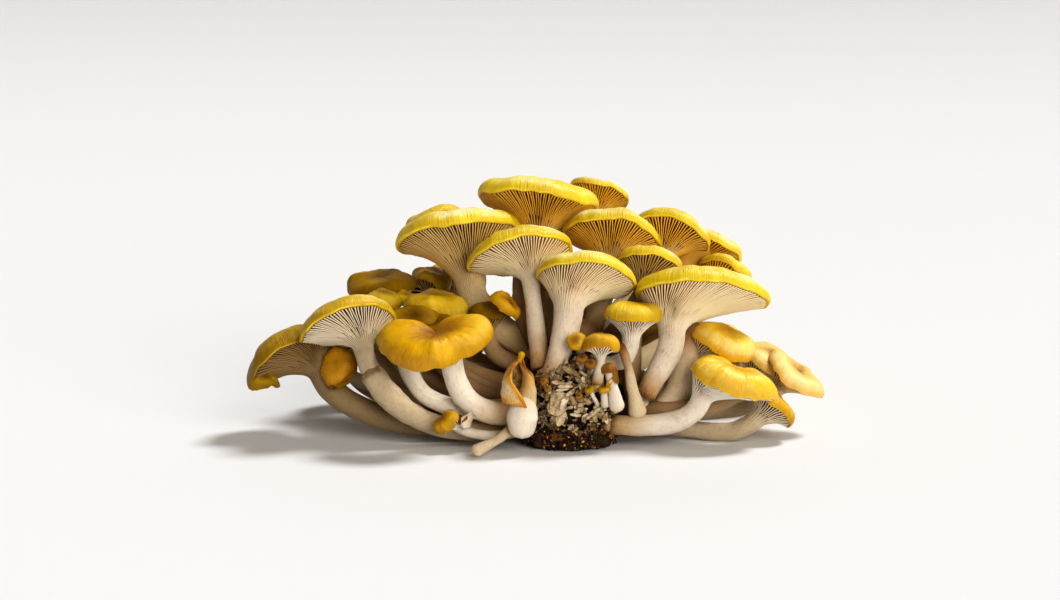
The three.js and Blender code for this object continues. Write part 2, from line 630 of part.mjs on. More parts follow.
function bunchSolid(bunch, grow = 0) {
  const ball = new THREE.OctahedronGeometry(bunch.radius + grow, 1);
  ball.translate(...bunch.foot);
  const foot = solidFrom(ball);
  const stems = bunch.of.map((name) => stemSolid(mushrooms[name], grow));
  const shoots = (bunch.shoots ?? []).map((shoot) => limb(shoot, grow));
  return [...stems, ...shoots].reduce((sum, piece) => sum.add(piece), foot);
}

const taken = []; // the space of every piece placed so far, with clearance round it
const cluster = new THREE.Group();

// Places a piece: shape(grow) makes its solid, larger all round by grow.
function place(name, shape, material) {
  const solid = restOnGround(clearOf(shape(0), taken));
  cluster.add(meshOf(name, solid, material));
  taken.push(shape(CLEARANCE));
}

place(
  "substrate",
  (grow) => lump(SUBSTRATE, 3, 0.03, 2, grow).add(lump(CRUST, 3, 0.05, 4, grow)),
  materialOf(COLOURS.substrate, 0.95),
);
for (const [name, m] of Object.entries(mushrooms)) {
  place("cap_" + name, (grow) => capSolid(m, grow), materialOf(COLOURS.cap, 0.45));
}
for (const [name, bunch] of Object.entries(BUNCHES)) {
  place(name, (grow) => bunchSolid(bunch, grow), materialOf(COLOURS.flesh, 0.6));
}
place("finger", (grow) => limb(FINGER, grow), materialOf(COLOURS.flesh, 0.6));
place(
  "withered_bud",
  (grow) => (grow ? limb(WITHERED, grow) : limb(WITHERED).subtract(lump(WITHERED.mouth, 1, 0.02, 5))),
  materialOf(COLOURS.flesh, 0.6),
);
place(
  "husks",
  (grow) => huskChips().reduce((sum, chip) => sum.add(chip), lump(HUSKS, 2, 0.03, 6, grow)),
  materialOf(COLOURS.husk, 0.9),
);

export default cluster;
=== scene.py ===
# A cluster of golden oyster mushrooms with the lump of substrate that it grew from.
# The rows are the solids' own, in millimetres. The surfaces have many more rings and columns, for thin
# gills, rolled rims, husks, crumbs and the young mushrooms on the plug.
import math
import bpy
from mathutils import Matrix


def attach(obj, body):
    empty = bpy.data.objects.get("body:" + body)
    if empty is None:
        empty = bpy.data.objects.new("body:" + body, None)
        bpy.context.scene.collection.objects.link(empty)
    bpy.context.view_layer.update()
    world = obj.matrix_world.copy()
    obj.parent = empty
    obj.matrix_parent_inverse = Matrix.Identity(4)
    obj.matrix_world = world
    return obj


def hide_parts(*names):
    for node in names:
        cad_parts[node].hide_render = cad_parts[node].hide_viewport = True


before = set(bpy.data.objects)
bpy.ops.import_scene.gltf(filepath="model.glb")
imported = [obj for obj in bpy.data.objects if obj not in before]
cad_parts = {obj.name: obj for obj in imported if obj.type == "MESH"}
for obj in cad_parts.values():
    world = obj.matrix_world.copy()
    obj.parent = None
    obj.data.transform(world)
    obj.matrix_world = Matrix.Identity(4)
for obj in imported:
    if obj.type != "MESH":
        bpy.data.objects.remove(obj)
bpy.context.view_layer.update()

from types import SimpleNamespace

import bmesh
import bpy
import numpy as np
from mathutils import Vector

MM = 0.001
TURN = 2 * math.pi

# ---------------------------------------------------------------- the mushrooms
FLESH_GAP = 0.15  # between a cap's underside and the flesh under it
LIP_DEPTH = 0.055  # how far the margin rolls under, as a share of the cap's half width
LIP_INSET = 0.94  # where the gills start, as a share of the way out to the margin
GILL_HEIGHT = 0.035  # how far a gill stands out of the fan, as a share of the half width
GILL_DEPTH = 0.075  # how far the gap between two gills goes in
CONE_SHARE = 0.35  # how conical the gill fan is; the rest of it is trumpet shaped
GILL_PITCH = 1.3  # millimetres from gill to gill at the margin
HIDDEN_PITCH = 2.1  # the same for a mushroom at the back
FULL_FAN = 12  # a cap with a greater half width has FAN_RINGS[0] rings of gills, a smaller one FAN_RINGS[1]
FAN_RINGS = (20, 15)
FEWEST_COLUMNS = 36  # round a cap
STEM_COLUMNS = 40
STEM_STEP = 2.6  # from ring to ring down the plain part of a stem

# One row a mushroom:
#   at, half, lean        the cap's centre, half widths and tilt to the right and to the back
#   foot, deep            where the stem's top sits, and how far the gills run down
#   crown, dip            height of the cap and depth of the hollow in its middle
#   root, leave, arrive   the stem's start, the way it sets out and the way it meets the cap
#   stem                  its radius at the root and under the gills
#   wave, ripple          the margin's ups and downs, and its ins and outs
#   notch, squeeze, droop what the margin does near one angle: its angle, its amount and its width
MUSHROOMS = {
    "left_tip": dict(
        at=(-109.5, 16, 32), half=(19.5, 16), lean=(-27, 30), foot=(8, 0), deep=12, crown=8.5, dip=4,
        root=(-16, 6, 9), leave=(-40, 0, -9), arrive=18, stem=(4.3, 4.6), droop=(196, 6.2, 58),
    ),
    "left_fan": dict(
        at=(-86, 4, 45.5), half=(19.5, 17), lean=(-12, 34), foot=(4.5, 0), deep=10, crown=8, dip=4,
        root=(-16, -3, 9), leave=(-46, -3, -13), arrive=12, stem=(4, 3.8), droop=(188, 3.5, 42),
    ),
    "left_hanging": dict(
        at=(-90, 8, 28), half=(7.2, 8.5), lean=(-20, -56), foot=(0, 1), deep=4, crown=5,
        root=(-20, 8, 10), leave=(-36, -2, 2), arrive=10, stem=(3, 2.6), ripple=0.06,
    ),
    "kidney": dict(
        at=(-51.5, -15, 42.5), half=(22.8, 17), lean=(-5, -26), foot=(5, 1), deep=7, crown=8, dip=4,
        root=(-19, -9, 13), leave=(-24, -4, -1), arrive=12, stem=(4.4, 4.1),
        notch=(96, 0.76, 38), squeeze=(311, 0.22, 34), wave=1.3, ripple=0.035,
    ),
    "left_front": dict(
        at=(-66, 2, 41), half=(10, 9), lean=(-14, 4), deep=7, crown=4, dip=1.5,
        root=(-17, -4, 15), leave=(-38, -4, -4), arrive=14, stem=(3.8, 3.6),
    ),
    "left_pocket": dict(
        at=(-55, 13, 43), half=(11.5, 9), lean=(-2, -20), foot=(3, 1), deep=6, crown=3.5, dip=2,
        root=(-17, 3, 17), leave=(-22, -3, 0), arrive=14, stem=(3.4, 3),
    ),
    "left_frill": dict(
        at=(-53.5, 28, 48.5), half=(13.5, 11), lean=(3, -3), foot=(4, -2), deep=8, crown=6, dip=1,
        root=(-15, 9, 21), leave=(-18, 0, 0), arrive=14, stem=(3.6, 3.2), wave=1.6, ripple=0.06,
    ),
    "left_small": dict(
        at=(-74, 34, 50), half=(7.5, 7), lean=(8, -8), deep=6, crown=4, dip=0.5,
        root=(-17, 14, 16), leave=(-34, 2, -2), arrive=16, stem=(3.6, 3), wave=0.9,
    ),
    "left_back": dict(
        at=(-75.5, 52, 53.5), half=(14.4, 13), lean=(-3, -10), foot=(2, 0), deep=7, crown=5, dip=1,
        root=(-17, 24, 15), leave=(-34, 8, -2), arrive=20, stem=(4, 3.4),
    ),
    "left_back_small": dict(
        at=(-56, 60, 54.5), half=(8.4, 8), lean=(14, -6), deep=6, crown=4.5, dip=0.5,
        root=(-15, 28, 19), leave=(-22, 8, 4), arrive=14, stem=(3.2, 2.8), wave=1.2,
    ),
    "left_hidden": dict(
        at=(-86, 70, 28), half=(15, 13), lean=(-46, 30), foot=(3, 0), deep=8, crown=5, dip=2,
        root=(-16, 30, 12), leave=(-32, 14, -3), arrive=18, stem=(4.2, 3.6),
    ),
    "inner_left": dict(
        at=(-31.5, 22, 47), half=(8.2, 8), lean=(5, -4), deep=6, crown=4, dip=1,
        root=(-15, 15, 27), leave=(-12, 0, 2), arrive=10, stem=(3.6, 3.2),
    ),
    "upper_left": dict(
        at=(-44.2, 42, 75.3), half=(24.8, 20), lean=(-8, 25), foot=(2, 0), deep=20, crown=8.5, dip=4.5,
        root=(-12, 20, 29), leave=(-13, 6, 10), arrive=12, stem=(5.4, 5.8), droop=(180, 2, 40),
    ),
    "upper_left_back": dict(
        at=(-54.4, 68, 77), half=(12, 11), lean=(-16, 22), foot=(2, 0), deep=9, crown=5.5, dip=2,
        root=(-13, 25, 29), leave=(-14, 10, 12), arrive=14, stem=(3.8, 3.4),
    ),
    "crest": dict(
        at=(-12.6, 56, 87.2), half=(24.2, 20), lean=(5, 20), foot=(1, 0), deep=16, crown=8.2, dip=4,
        root=(-3, 28, 36), leave=(-3, 8, 12), arrive=14, stem=(5, 5), wave=1.1,
    ),
    "upper_middle": dict(
        at=(-20.1, 26, 69.6), half=(20.6, 17), lean=(-8, 35), foot=(3, 0), deep=11, crown=7.8, dip=4,
        root=(-12, -1, 29), leave=(-1, 5, 10), arrive=12, stem=(3.4, 3.4), droop=(190, 2, 40),
    ),
    "front_centre": dict(
        at=(5.6, 12, 62.2), half=(20.2, 16), lean=(4, 37), foot=(-6, 0), deep=13, crown=8, dip=4,
        root=(-9, -6, 24), leave=(4, 2, 10), arrive=8, stem=(4.3, 5.6), droop=(340, 2, 40),
    ),
    "crest_right": dict(
        at=(12, 82, 85.4), half=(12.5, 12), lean=(14, 42), deep=9, crown=5, dip=2.5,
        root=(8, 40, 34), leave=(1, 14, 14), arrive=14, stem=(3.8, 3.5),
    ),
    "upper_centre": dict(
        at=(16.7, 46, 74), half=(20.5, 17), lean=(8, 35), deep=12, crown=8, dip=4,
        root=(7, 24, 36), leave=(3, 6, 12), arrive=12, stem=(4.3, 4.3), droop=(345, 1.5, 40),
    ),
    "upper_right": dict(
        at=(40.9, 52, 74), half=(16.2, 14.5), lean=(20, 35), foot=(-1, 0), deep=11, crown=7.2, dip=3.5,
        root=(13, 26, 32), leave=(10, 8, 12), arrive=14, stem=(4.3, 4),
    ),
    "right_shoulder": dict(
        at=(56.7, 62, 66.5), half=(14, 13), lean=(26, 33), foot=(-2, 0), deep=9, crown=6, dip=3,
        root=(16, 37, 29), leave=(12, 8, 10), arrive=14, stem=(3.8, 3.5),
    ),
    "right_shelf": dict(
        at=(62, 46, 60.5), half=(11, 10), lean=(20, 22), foot=(-2, 0), deep=8, crown=5, dip=2,
        root=(17, 34, 29), leave=(14, 4, 8), arrive=12, stem=(3.4, 3.1),
    ),
    "inner_right": dict(
        at=(30.7, 28, 64.5), half=(13, 12), lean=(14, 34), foot=(-1, 0), deep=9, crown=6.8, dip=3,
        root=(24, 4, 13), leave=(-2, 4, 14), arrive=14, stem=(3.4, 3.1),
    ),
    "right_fan": dict(
        at=(50.7, 14, 55), half=(25.8, 19), lean=(0, 32), foot=(-12, 0), deep=14, crown=9.2, dip=5,
        root=(28, -1, 18), leave=(3, 1, 8), arrive=10, stem=(4.2, 5), droop=(350, 2, 35),
    ),
    "button": dict(
        at=(23.2, 4, 48), half=(11.8, 10), lean=(3, 8), deep=7, crown=6.2,
        root=(9, 0, 32), leave=(11, -1, -3), arrive=7, stem=(2.8, 3.4),
    ),
    "front_bud": dict(
        at=(10.8, -13, 40), half=(7.2, 6.5), lean=(0, 2), deep=4, crown=5,
        root=(9.5, -16, 26), leave=(0, 0, 4), arrive=4, stem=(2.1, 1.7),
    ),
    "right_dome": dict(
        at=(58.5, 8, 37), half=(12.8, 10), lean=(24, -16), foot=(-5, 1), deep=8, crown=6.8,
        root=(22, 11, 15), leave=(18, 3, 4), arrive=10, stem=(5, 3.8),
    ),
    "right_low": dict(
        at=(61, -8, 24.5), half=(18, 12), lean=(20, -2), foot=(-9, 0), deep=9, crown=8, dip=1.5,
        root=(15, -8, 9), leave=(22, 0, -2), arrive=8, stem=(3.9, 3.9), wave=1.5,
    ),
    "right_pale": dict(
        at=(78, 26, 26.5), half=(13.5, 12), lean=(26, -12), foot=(-3, 0), deep=7, crown=5.5, dip=1,
        root=(21, 20, 13), leave=(26, 4, 2), arrive=12, stem=(4, 3.6),
    ),
    "right_tip": dict(
        at=(87.5, 18, 22.5), half=(13, 12), lean=(36, -12), foot=(-3, 0), deep=8, crown=5, dip=2,
        root=(20, 20, 9), leave=(36, 2, -1), arrive=12, stem=(4, 3.6), wave=1,
    ),
    "right_under": dict(
        at=(78, 3, 14.5), half=(11, 9), lean=(50, 4), deep=9, crown=4.5, dip=1,
        root=(19, 8, 7), leave=(32, 0, -2), arrive=14, stem=(3.6, 3.6),
    ),
    "crumpled": dict(
        at=(-47, -15, 11), half=(5.2, 5), lean=(-48, -30), foot=(1, 0), deep=3, crown=3.5,
        root=(-20, -11, 7), leave=(-12, -3, -3), arrive=4, stem=(2, 1.9), wave=0.8, ripple=0.1,
    ),
    "back_crown": dict(
        at=(-19, 96, 68), half=(20, 17), lean=(-6, 48), foot=(0, -2), deep=9, crown=7, dip=3.5,
        root=(-5, 46, 31), leave=(-2, 12, 12), arrive=14, stem=(4.6, 4.4),
    ),
    "back_centre": dict(
        at=(-6, 108, 38), half=(18.5, 15), lean=(-2, 66), foot=(0, -3), deep=9, crown=6, dip=3,
        root=(-2, 54, 19), leave=(0, 22, -2), arrive=16, stem=(4.4, 4),
    ),
    "back_right_high": dict(
        at=(34, 94, 58), half=(19, 16), lean=(24, 50), foot=(0, -2), deep=9, crown=6.5, dip=3.5,
        root=(8, 48, 28), leave=(8, 14, 10), arrive=14, stem=(4.4, 4.2),
    ),
    "back_right_low": dict(
        at=(41, 97, 30), half=(17, 14), lean=(36, 58), foot=(0, -3), deep=9, crown=5.5, dip=3,
        root=(11, 50, 16), leave=(16, 18, -2), arrive=16, stem=(4.2, 3.8),
    ),
    "right_hidden": dict(
        at=(71, 62, 24), half=(15, 12), lean=(54, 28), foot=(0, -2), deep=8, crown=5, dip=2,
        root=(15, 45, 17), leave=(22, 8, -3), arrive=16, stem=(4.2, 3.6),
    ),
    "back_left_high": dict(
        at=(-51, 90, 46), half=(18, 16), lean=(-26, 44), foot=(0, -3), deep=9, crown=6, dip=3,
        root=(-9, 46, 28), leave=(-12, 12, 6), arrive=14, stem=(4.4, 4),
    ),
    "back_left_low": dict(
        at=(-48, 100, 21), half=(16, 13), lean=(-40, 58), foot=(0, -2), deep=9, crown=5.5, dip=2.5,
        root=(-10, 50, 14), leave=(-16, 18, -4), arrive=16, stem=(4.2, 3.6),
    ),
}

# Stems fused at the foot: the foot's centre and radius, and the mushrooms that stand on it. tone is the way
# value that picks the foot's colour: the nearer to -1, the more it takes the stem's dark brown base, which is
# partly dirt and partly painted shade. A shoot never bore a cap: a line of points with a girth at each, in
# its own flesh.
BUNCHES = {
    "stems_left_low": dict(
        foot=(-16, 4, 9), radius=7.5, of=("left_tip", "left_fan", "left_hanging"),
        shoots=[(((-18, 8, 12), (-42, 13, 9), (-64, 17, 15), (-76, 20, 31)), (4, 5, 4.6, 2.4)),
                (((-18, 9, 12), (-42, 15, 8), (-66, 19, 11), (-82, 18, 19), (-88, 14, 26)),
                 (4, 4.4, 3.6, 2.6, 2)),
                (((-18, 12, 14), (-40, 20, 16), (-58, 24, 22), (-68, 28, 34)), (4, 5, 4.6, 3))],
    ),
    "stems_left_front": dict(foot=(-18, -8, 12), radius=6, of=("kidney", "left_front", "crumpled")),
    "stems_left_middle": dict(
        foot=(-16, 6, 20), radius=6, of=("left_pocket", "left_frill"),
        shoots=[(((-16, 9, 20), (-34, 13, 19), (-49, 18, 27), (-56, 22, 37)), (4, 4.6, 4.4, 2.4))],
    ),
    "stems_left_back": dict(
        foot=(-19, 24, 17), radius=9, of=("left_small", "left_back", "left_back_small", "left_hidden"),
        shoots=[(((-19, 24, 20), (-44, 30, 23), (-60, 32, 36), (-65, 33, 45.5)), (4, 4.8, 4.4, 3))],
    ),
    "stems_upper_left": dict(
        foot=(-13, 19, 29), radius=8.5, of=("inner_left", "upper_left", "upper_left_back"),
        shoots=[(((-15, 20, 32), (-17, 25, 43), (-19, 30, 54), (-20, 35, 63)), (4, 4.6, 4, 2.6))],
    ),
    "stems_upper_front": dict(foot=(-10, -3, 26), radius=5, tone=-0.92, of=("upper_middle", "front_centre")),
    "stems_crest": dict(
        foot=(5, 25, 37), radius=9, of=("crest", "upper_centre", "upper_right"),
        shoots=[(((-4, 20, 35), (-8, 22, 43), (-9, 28, 53), (-9, 36, 62)), (4, 4.4, 4, 2.2))],
    ),
    "stems_right_back": dict(
        foot=(15, 37, 31), radius=9.5, shoot_kind="gold", of=("crest_right", "right_shoulder", "right_shelf"),
        shoots=[(((20, 38, 36), (36, 46, 52), (46, 52, 62), (54, 57, 67)), (4, 5, 5.5, 4))],
    ),
    "stems_right_front": dict(
        foot=(26, 2, 15), radius=5.5, tone=-0.62, shoot_kind="cream", of=("inner_right", "right_fan"),
        shoots=[(((19, -7, 39), (21.5, -8.5, 31), (22.8, -9, 24), (25, -8, 14)), (1.5, 1.8, 2.1, 3.4)),
                (((47, 10, 44), (45, 8, 32), (42, 6, 21), (35, 4, 13)), (2.6, 4.6, 5.6, 4))],
    ),
    "stem_button": dict(foot=(9, 0, 32), radius=4, of=("button",)),
    "stem_front_bud": dict(foot=(9.5, -15.5, 26), radius=2.6, of=("front_bud",)),
    "stem_right_low": dict(foot=(14, -8, 9), radius=3.8, tone=-0.98, of=("right_low",)),
    "stems_right_side": dict(
        foot=(20, 15, 11), radius=8, of=("right_dome", "right_pale", "right_tip", "right_under"),
        shoots=[(((20, 16, 16), (35, 19, 20), (45, 23, 29), (50, 28, 40)), (3.6, 4.6, 4, 2.2)),
                (((17, 4, 12), (36, 1, 12), (52, 0, 14), (66, 1, 19)), (4, 4.2, 3.6, 2.4)),
                (((20, 14, 12), (38, 14, 13), (56, 13, 19), (64, 14, 28)), (4, 5, 4.6, 3))],
    ),
    "stems_back": dict(foot=(-3, 49, 25), radius=9, of=("back_crown", "back_centre")),
    "stems_back_right": dict(
        foot=(13, 48, 20), radius=9.5, of=("back_right_high", "back_right_low", "right_hidden"),
    ),
    "stems_back_left": dict(foot=(-12, 51, 21), radius=9.5, of=("back_left_high", "back_left_low")),
}

BACK = ("back_crown", "back_centre", "back_right_high", "back_right_low", "right_hidden",
        "back_left_high", "back_left_low")

# Which skin and which gills each mushroom has; the rest are golden with cream gills. The olive and moss skins
# and the grey, dim and shade flesh are darker copies, painted shade for mushrooms on the shaded left,
# underneath and inside the cluster.
SKINS = {
    "olive": ("left_pocket", "left_back", "inner_left", "left_hidden"),
    "moss": ("left_tip",),
    "mustard": ("left_fan",),
    "lemon": ("left_frill", "left_small", "left_back_small", "button"),
    "orange": ("kidney", "crumpled", "front_bud", "right_under"),
    "honey": ("left_hanging",),
    "plain": (*BACK, "upper_left_back", "right_shelf"),
    "sunny": ("right_dome", "right_low"),
    "pale": ("right_pale", "right_tip"),
}
GILLS = {
    "brown": ("crest", "upper_centre", "upper_right", "upper_left_back"),
    "gold": ("crest_right", "right_shoulder", "right_shelf"),
    "tan": ("upper_left", *BACK),
    "grey": ("left_tip",),
    "dim": ("left_fan", "left_hanging", "right_under"),
    "amber": ("right_fan", "front_centre", "upper_middle"),
    "white": ("kidney", "left_front", "crumpled", "button", "front_bud", "right_low"),
    "shade": ("left_pocket", "left_frill", "left_small", "left_back", "left_back_small",
              "left_hidden", "inner_left", "inner_right"),
}
HIDDEN = ("left_hidden", *BACK, "upper_left_back")


def row_of(name, row):
    """A mushroom's row with all its values, its seed and its paints."""
    kept = dict(foot=(0, 0), dip=0, wave=0.8, ripple=0.025, notch=None, squeeze=None, droop=None)
    kept.update(row)
    kept["seed"] = sum(map(ord, name)) % 97
    kept["name"] = name
    kept["skin"] = next((k for k, names in SKINS.items() if name in names), "golden")
    kept["flesh"] = next((k for k, names in GILLS.items() if name in names), "cream")
    kept["pitch"] = HIDDEN_PITCH if name in HIDDEN else GILL_PITCH
    return SimpleNamespace(**kept)


mushrooms = {name: row_of(name, row) for name, row in MUSHROOMS.items()}


# ---------------------------------------------------------------- small helpers
def chance(seed, index):
    """The same number between 0 and 1 each time for a seed and an index, or an array of them."""
    wild = np.sin(seed * 12.9898 + np.asarray(index) * 78.233) * 43758.5453
    return wild - np.floor(wild)


def unit(v):
    v = np.asarray(v, float)
    return v / np.linalg.norm(v, axis=-1, keepdims=True)


def mix(a, b, t):
    return a + (b - a) * t


def smooth(t, low, high):
    """0 up to low and 1 from high on, eased between them."""
    t = np.clip((np.asarray(t, float) - low) / (high - low), 0, 1)
    return t * t * (3 - 2 * t)


def turns(count):
    """Angles spread evenly round a circle."""
    return np.arange(count) * TURN / count


def round_of(middle, a, b, radius, angle):
    """Points on a ring round middle, in the plane of a and b."""
    radius = np.broadcast_to(radius, angle.shape)
    return middle + np.outer(radius * np.cos(angle), a) + np.outer(radius * np.sin(angle), b)


def round_grain(angle, along):
    """Where the fibres run on a ring: round it by the angle, and on to the next ring by along."""
    return np.stack([np.cos(angle), np.sin(angle), np.full(len(angle), along)], 1)


def ripples(p, seed, size):
    """Soft lumps in space: a number near -1 to 1 for each point, with waves about size long."""
    q = np.asarray(p) * (TURN / size)
    a = np.sin(q[..., 0] + 1.7 * np.sin(0.6 * q[..., 1] + seed) + seed)
    b = np.sin(1.1 * q[..., 1] + 1.3 * np.sin(0.7 * q[..., 2] - seed) + 2 * seed)
    c = np.sin(0.9 * q[..., 2] + 1.5 * np.sin(0.5 * q[..., 0] + 3 * seed))
    return (a + b + c) / 3


class Skin:
    """Closed surfaces put together from rings of points, with values at each point:
    way, how far along it is; edge, how far it stands out; and grain, where its fibres run."""

    def __init__(self):
        self.points, self.values, self.faces, self.paints = [], [], [], []
        self.size = 0
        self.paint = 0

    def ring(self, points, way=0.0, edge=0.0, grain=None):
        """Takes in a ring or a ball of points, lifted clear of the table where it would reach into it."""
        points = np.atleast_2d(points)
        points = points - (0, 0, min(points[:, 2].min(), 0))
        n = len(points)
        values = np.zeros((n, 5))
        values[:, 0] = way
        values[:, 1] = edge
        values[:, 2:] = points / 20 if grain is None else grain
        self.points.append(points)
        self.values.append(values)
        self.size += n
        return np.arange(self.size - n, self.size)

    def put(self, faces):
        self.faces.append(np.asarray(faces))
        self.paints.append(np.full(len(faces), self.paint))

    def band(self, a, b):
        """Joins ring a to the next ring b, which may have another number of points."""
        if len(a) == len(b):
            self.put(np.stack([a, np.roll(a, -1), np.roll(b, -1), b], 1))
            return
        made, i, j = [], 0, 0
        while i < len(a) or j < len(b):
            if (i + 1) * len(b) <= (j + 1) * len(a) and i < len(a):
                made.append((a[i % len(a)], a[(i + 1) % len(a)], b[j % len(b)]))
                i += 1
            else:
                made.append((a[i % len(a)], b[(j + 1) % len(b)], b[j % len(b)]))
                j += 1
        self.put(made)

    def start(self, tip, ring):
        self.put(np.stack([np.full(len(ring), tip[0]), np.roll(ring, -1), ring], 1))

    def end(self, ring, tip):
        self.put(np.stack([np.full(len(ring), tip[0]), ring, np.roll(ring, -1)], 1))

    def loft(self, rings):
        """Bands through rings, closed at both ends; each ring is (points, way, edge, grain)."""
        made = [self.ring(*r) for r in rings]
        first = self.ring(rings[0][0].mean(0), np.mean(rings[0][1]), 0, np.mean(rings[0][3], 0))
        last = self.ring(rings[-1][0].mean(0), np.mean(rings[-1][1]), 0, np.mean(rings[-1][3], 0))
        self.start(first, made[0])
        for a, b in zip(made, made[1:]):
            self.band(a, b)
        self.end(made[-1], last)

    def blob(self, points, faces, way):
        self.put(self.ring(points, way)[faces])

    def object(self, name, materials, slot, nodes=()):
        """The piece as a Blender object that rides on the cluster and replaces these nodes."""
        mesh = bpy.data.meshes.new(name)
        points = np.concatenate(self.points) * MM
        corners = np.concatenate([f.ravel() for f in self.faces])
        sides = np.concatenate([np.full(len(f), f.shape[1]) for f in self.faces])
        mesh.vertices.add(len(points))
        mesh.vertices.foreach_set("co", points.astype(np.float32).ravel())
        mesh.loops.add(len(corners))
        mesh.loops.foreach_set("vertex_index", corners.astype(np.int32))
        mesh.polygons.add(len(sides))
        mesh.polygons.foreach_set("loop_start", (np.cumsum(sides) - sides).astype(np.int32))
        mesh.polygons.foreach_set("material_index", np.concatenate(self.paints).astype(np.int32))
        mesh.polygons.foreach_set("use_smooth", np.ones(len(sides), bool))
        values = np.concatenate(self.values).astype(np.float32)
        for column, label in enumerate(("way", "edge")):
            mesh.attributes.new(label, "FLOAT", "POINT").data.foreach_set("value", values[:, column].copy())
        grain = mesh.attributes.new("grain", "FLOAT_VECTOR", "POINT")
        grain.data.foreach_set("vector", values[:, 2:].copy().ravel())
        for material in materials:
            mesh.materials.append(material)
        mesh.update(calc_edges=True)
        mesh.validate()
        made = bpy.data.objects.new(name, mesh)
        bpy.context.scene.collection.objects.link(made)
        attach(made, "root")
        if nodes:
            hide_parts(*nodes)


# ---------------------------------------------------------------- one mushroom
# m is a mushroom's row; its axes are unit vectors, and out and share run from 0 at the middle to 1
# at the margin.
def axes_of(m):
    """The cap's own axes: up through the crown, across and along."""
    lean = [math.tan(math.radians(degrees)) for degrees in m.lean]
    up = unit([lean[0], lean[1], 1.0])
    across = unit(np.array([1.0, 0, 0]) - up * up[0])
    return up, across, np.cross(up, across)


def nearness(spec, angle):
    """1 at the angle of a notch or a droop, falling to nothing past its width."""
    off = angle - math.radians(spec[0])
    return np.exp(-((np.arctan2(np.sin(off), np.cos(off)) / math.radians(spec[2])) ** 2))


def margin(m, angle):
    """Radius and rise of the cap's margin."""
    ellipse = 1 / np.hypot(np.cos(angle) / m.half[0], np.sin(angle) / m.half[1])
    stretch, rise = 1.0, 0.0
    # a few broad waves, then finer ones
    for k in range(2, 6):
        turn = TURN * chance(m.seed, k)
        stretch = stretch + m.ripple / (k - 1) * np.cos(k * angle + turn)
        rise = rise + m.wave / (k - 1) * np.cos(k * angle + 2 * turn)
    for k in range(7, 20, 3):
        turn = TURN * chance(m.seed + 5, k)
        stretch = stretch + m.ripple * 1.6 / k * np.cos(k * angle + turn)
        rise = rise + m.wave * 1.8 / k * np.cos(k * angle + 2 * turn)
    if m.notch:
        stretch = stretch * (1 - m.notch[1] * nearness(m.notch, angle))
    if m.squeeze:
        stretch = stretch * (1 - m.squeeze[1] * nearness(m.squeeze, angle))
    if m.droop:
        rise = rise - m.droop[1] * nearness(m.droop, angle)
    return ellipse * stretch, rise


def cap_ring(m, axes, angle, share, height):
    """One ring of the cap, at a share of the way out and a height over the margin."""
    up, across, along = axes
    radius, rise = margin(m, angle)
    out = radius * share
    sunk = 1 - m.notch[1] * nearness(m.notch, angle) * math.sqrt(share) if m.notch and height > 0 else 1
    lift = height * sunk + rise * share * share
    spot = np.stack([out * np.cos(angle), out * np.sin(angle), np.full(len(angle), height)], 1)
    if height > 0:
        lift = lift + (0.5 * ripples(spot, m.seed, 15) + 0.16 * ripples(spot, m.seed + 3, 6)) \
            * (0.3 + share * (1 - share) * 3)
    return np.array(m.at) + np.outer(out * np.cos(angle), across) + np.outer(out * np.sin(angle), along) \
        + np.outer(lift, up)


def cap_profile(m):
    """Share of the way out, height and way for each ring, from the middle of the underside over the rim
    to the middle of the top."""
    lip = LIP_DEPTH * m.half[0]
    roof = min(0.3 * m.crown, m.crown - m.dip - 2)
    rows = [(0.3, roof), (0.65, 0.6 * roof), (0.86, -0.1 * lip), (0.915, -0.55 * lip), (0.938, -0.9 * lip)]
    rows = [(share, height, 1.3) for share, height in rows]
    for turn in np.radians([0, 25, 50, 72]):
        rows.append((0.955 + 0.045 * math.sin(turn), -lip * math.cos(turn), 1.2 - 0.2 * math.sin(turn)))
    top_turns = [0, 6, 13, 20, 27, 34, 41, 48, 54, 60, 65, 70, 74, 77.5, 80.5, 83, 85.5, 87.5, 89]
    for turn in np.radians(top_turns):
        share = math.cos(turn) ** (2 / 3)
        height = m.crown * math.sin(turn) - m.dip * math.exp(-((share / 0.42) ** 2))
        rows.append((share, height, share))
    return rows


def cap_skin(skin, m):
    """The cap as a closed skin, its columns about 1.2 times as far apart as the gills."""
    axes = axes_of(m)
    columns = 4 * round(TURN * sum(m.half) / 2 / (1.3 * m.pitch) / 4 * 1.1)
    angle = turns(max(columns, FEWEST_COLUMNS))
    rings = []
    for share, height, way in cap_profile(m):
        spots = cap_ring(m, axes, angle, share, height)
        rings.append((spots, way, 0.0, round_grain(angle, 0.3 * share + m.seed)))
    skin.loft(rings)


def fall(out):
    """How far below the rim the gills lie, as a share of their depth: 1 at the stem, 0 at the rim."""
    return CONE_SHARE * (1 - out) + (1 - CONE_SHARE) * (1 - math.sqrt(max(0, 2 * out - out * out)))


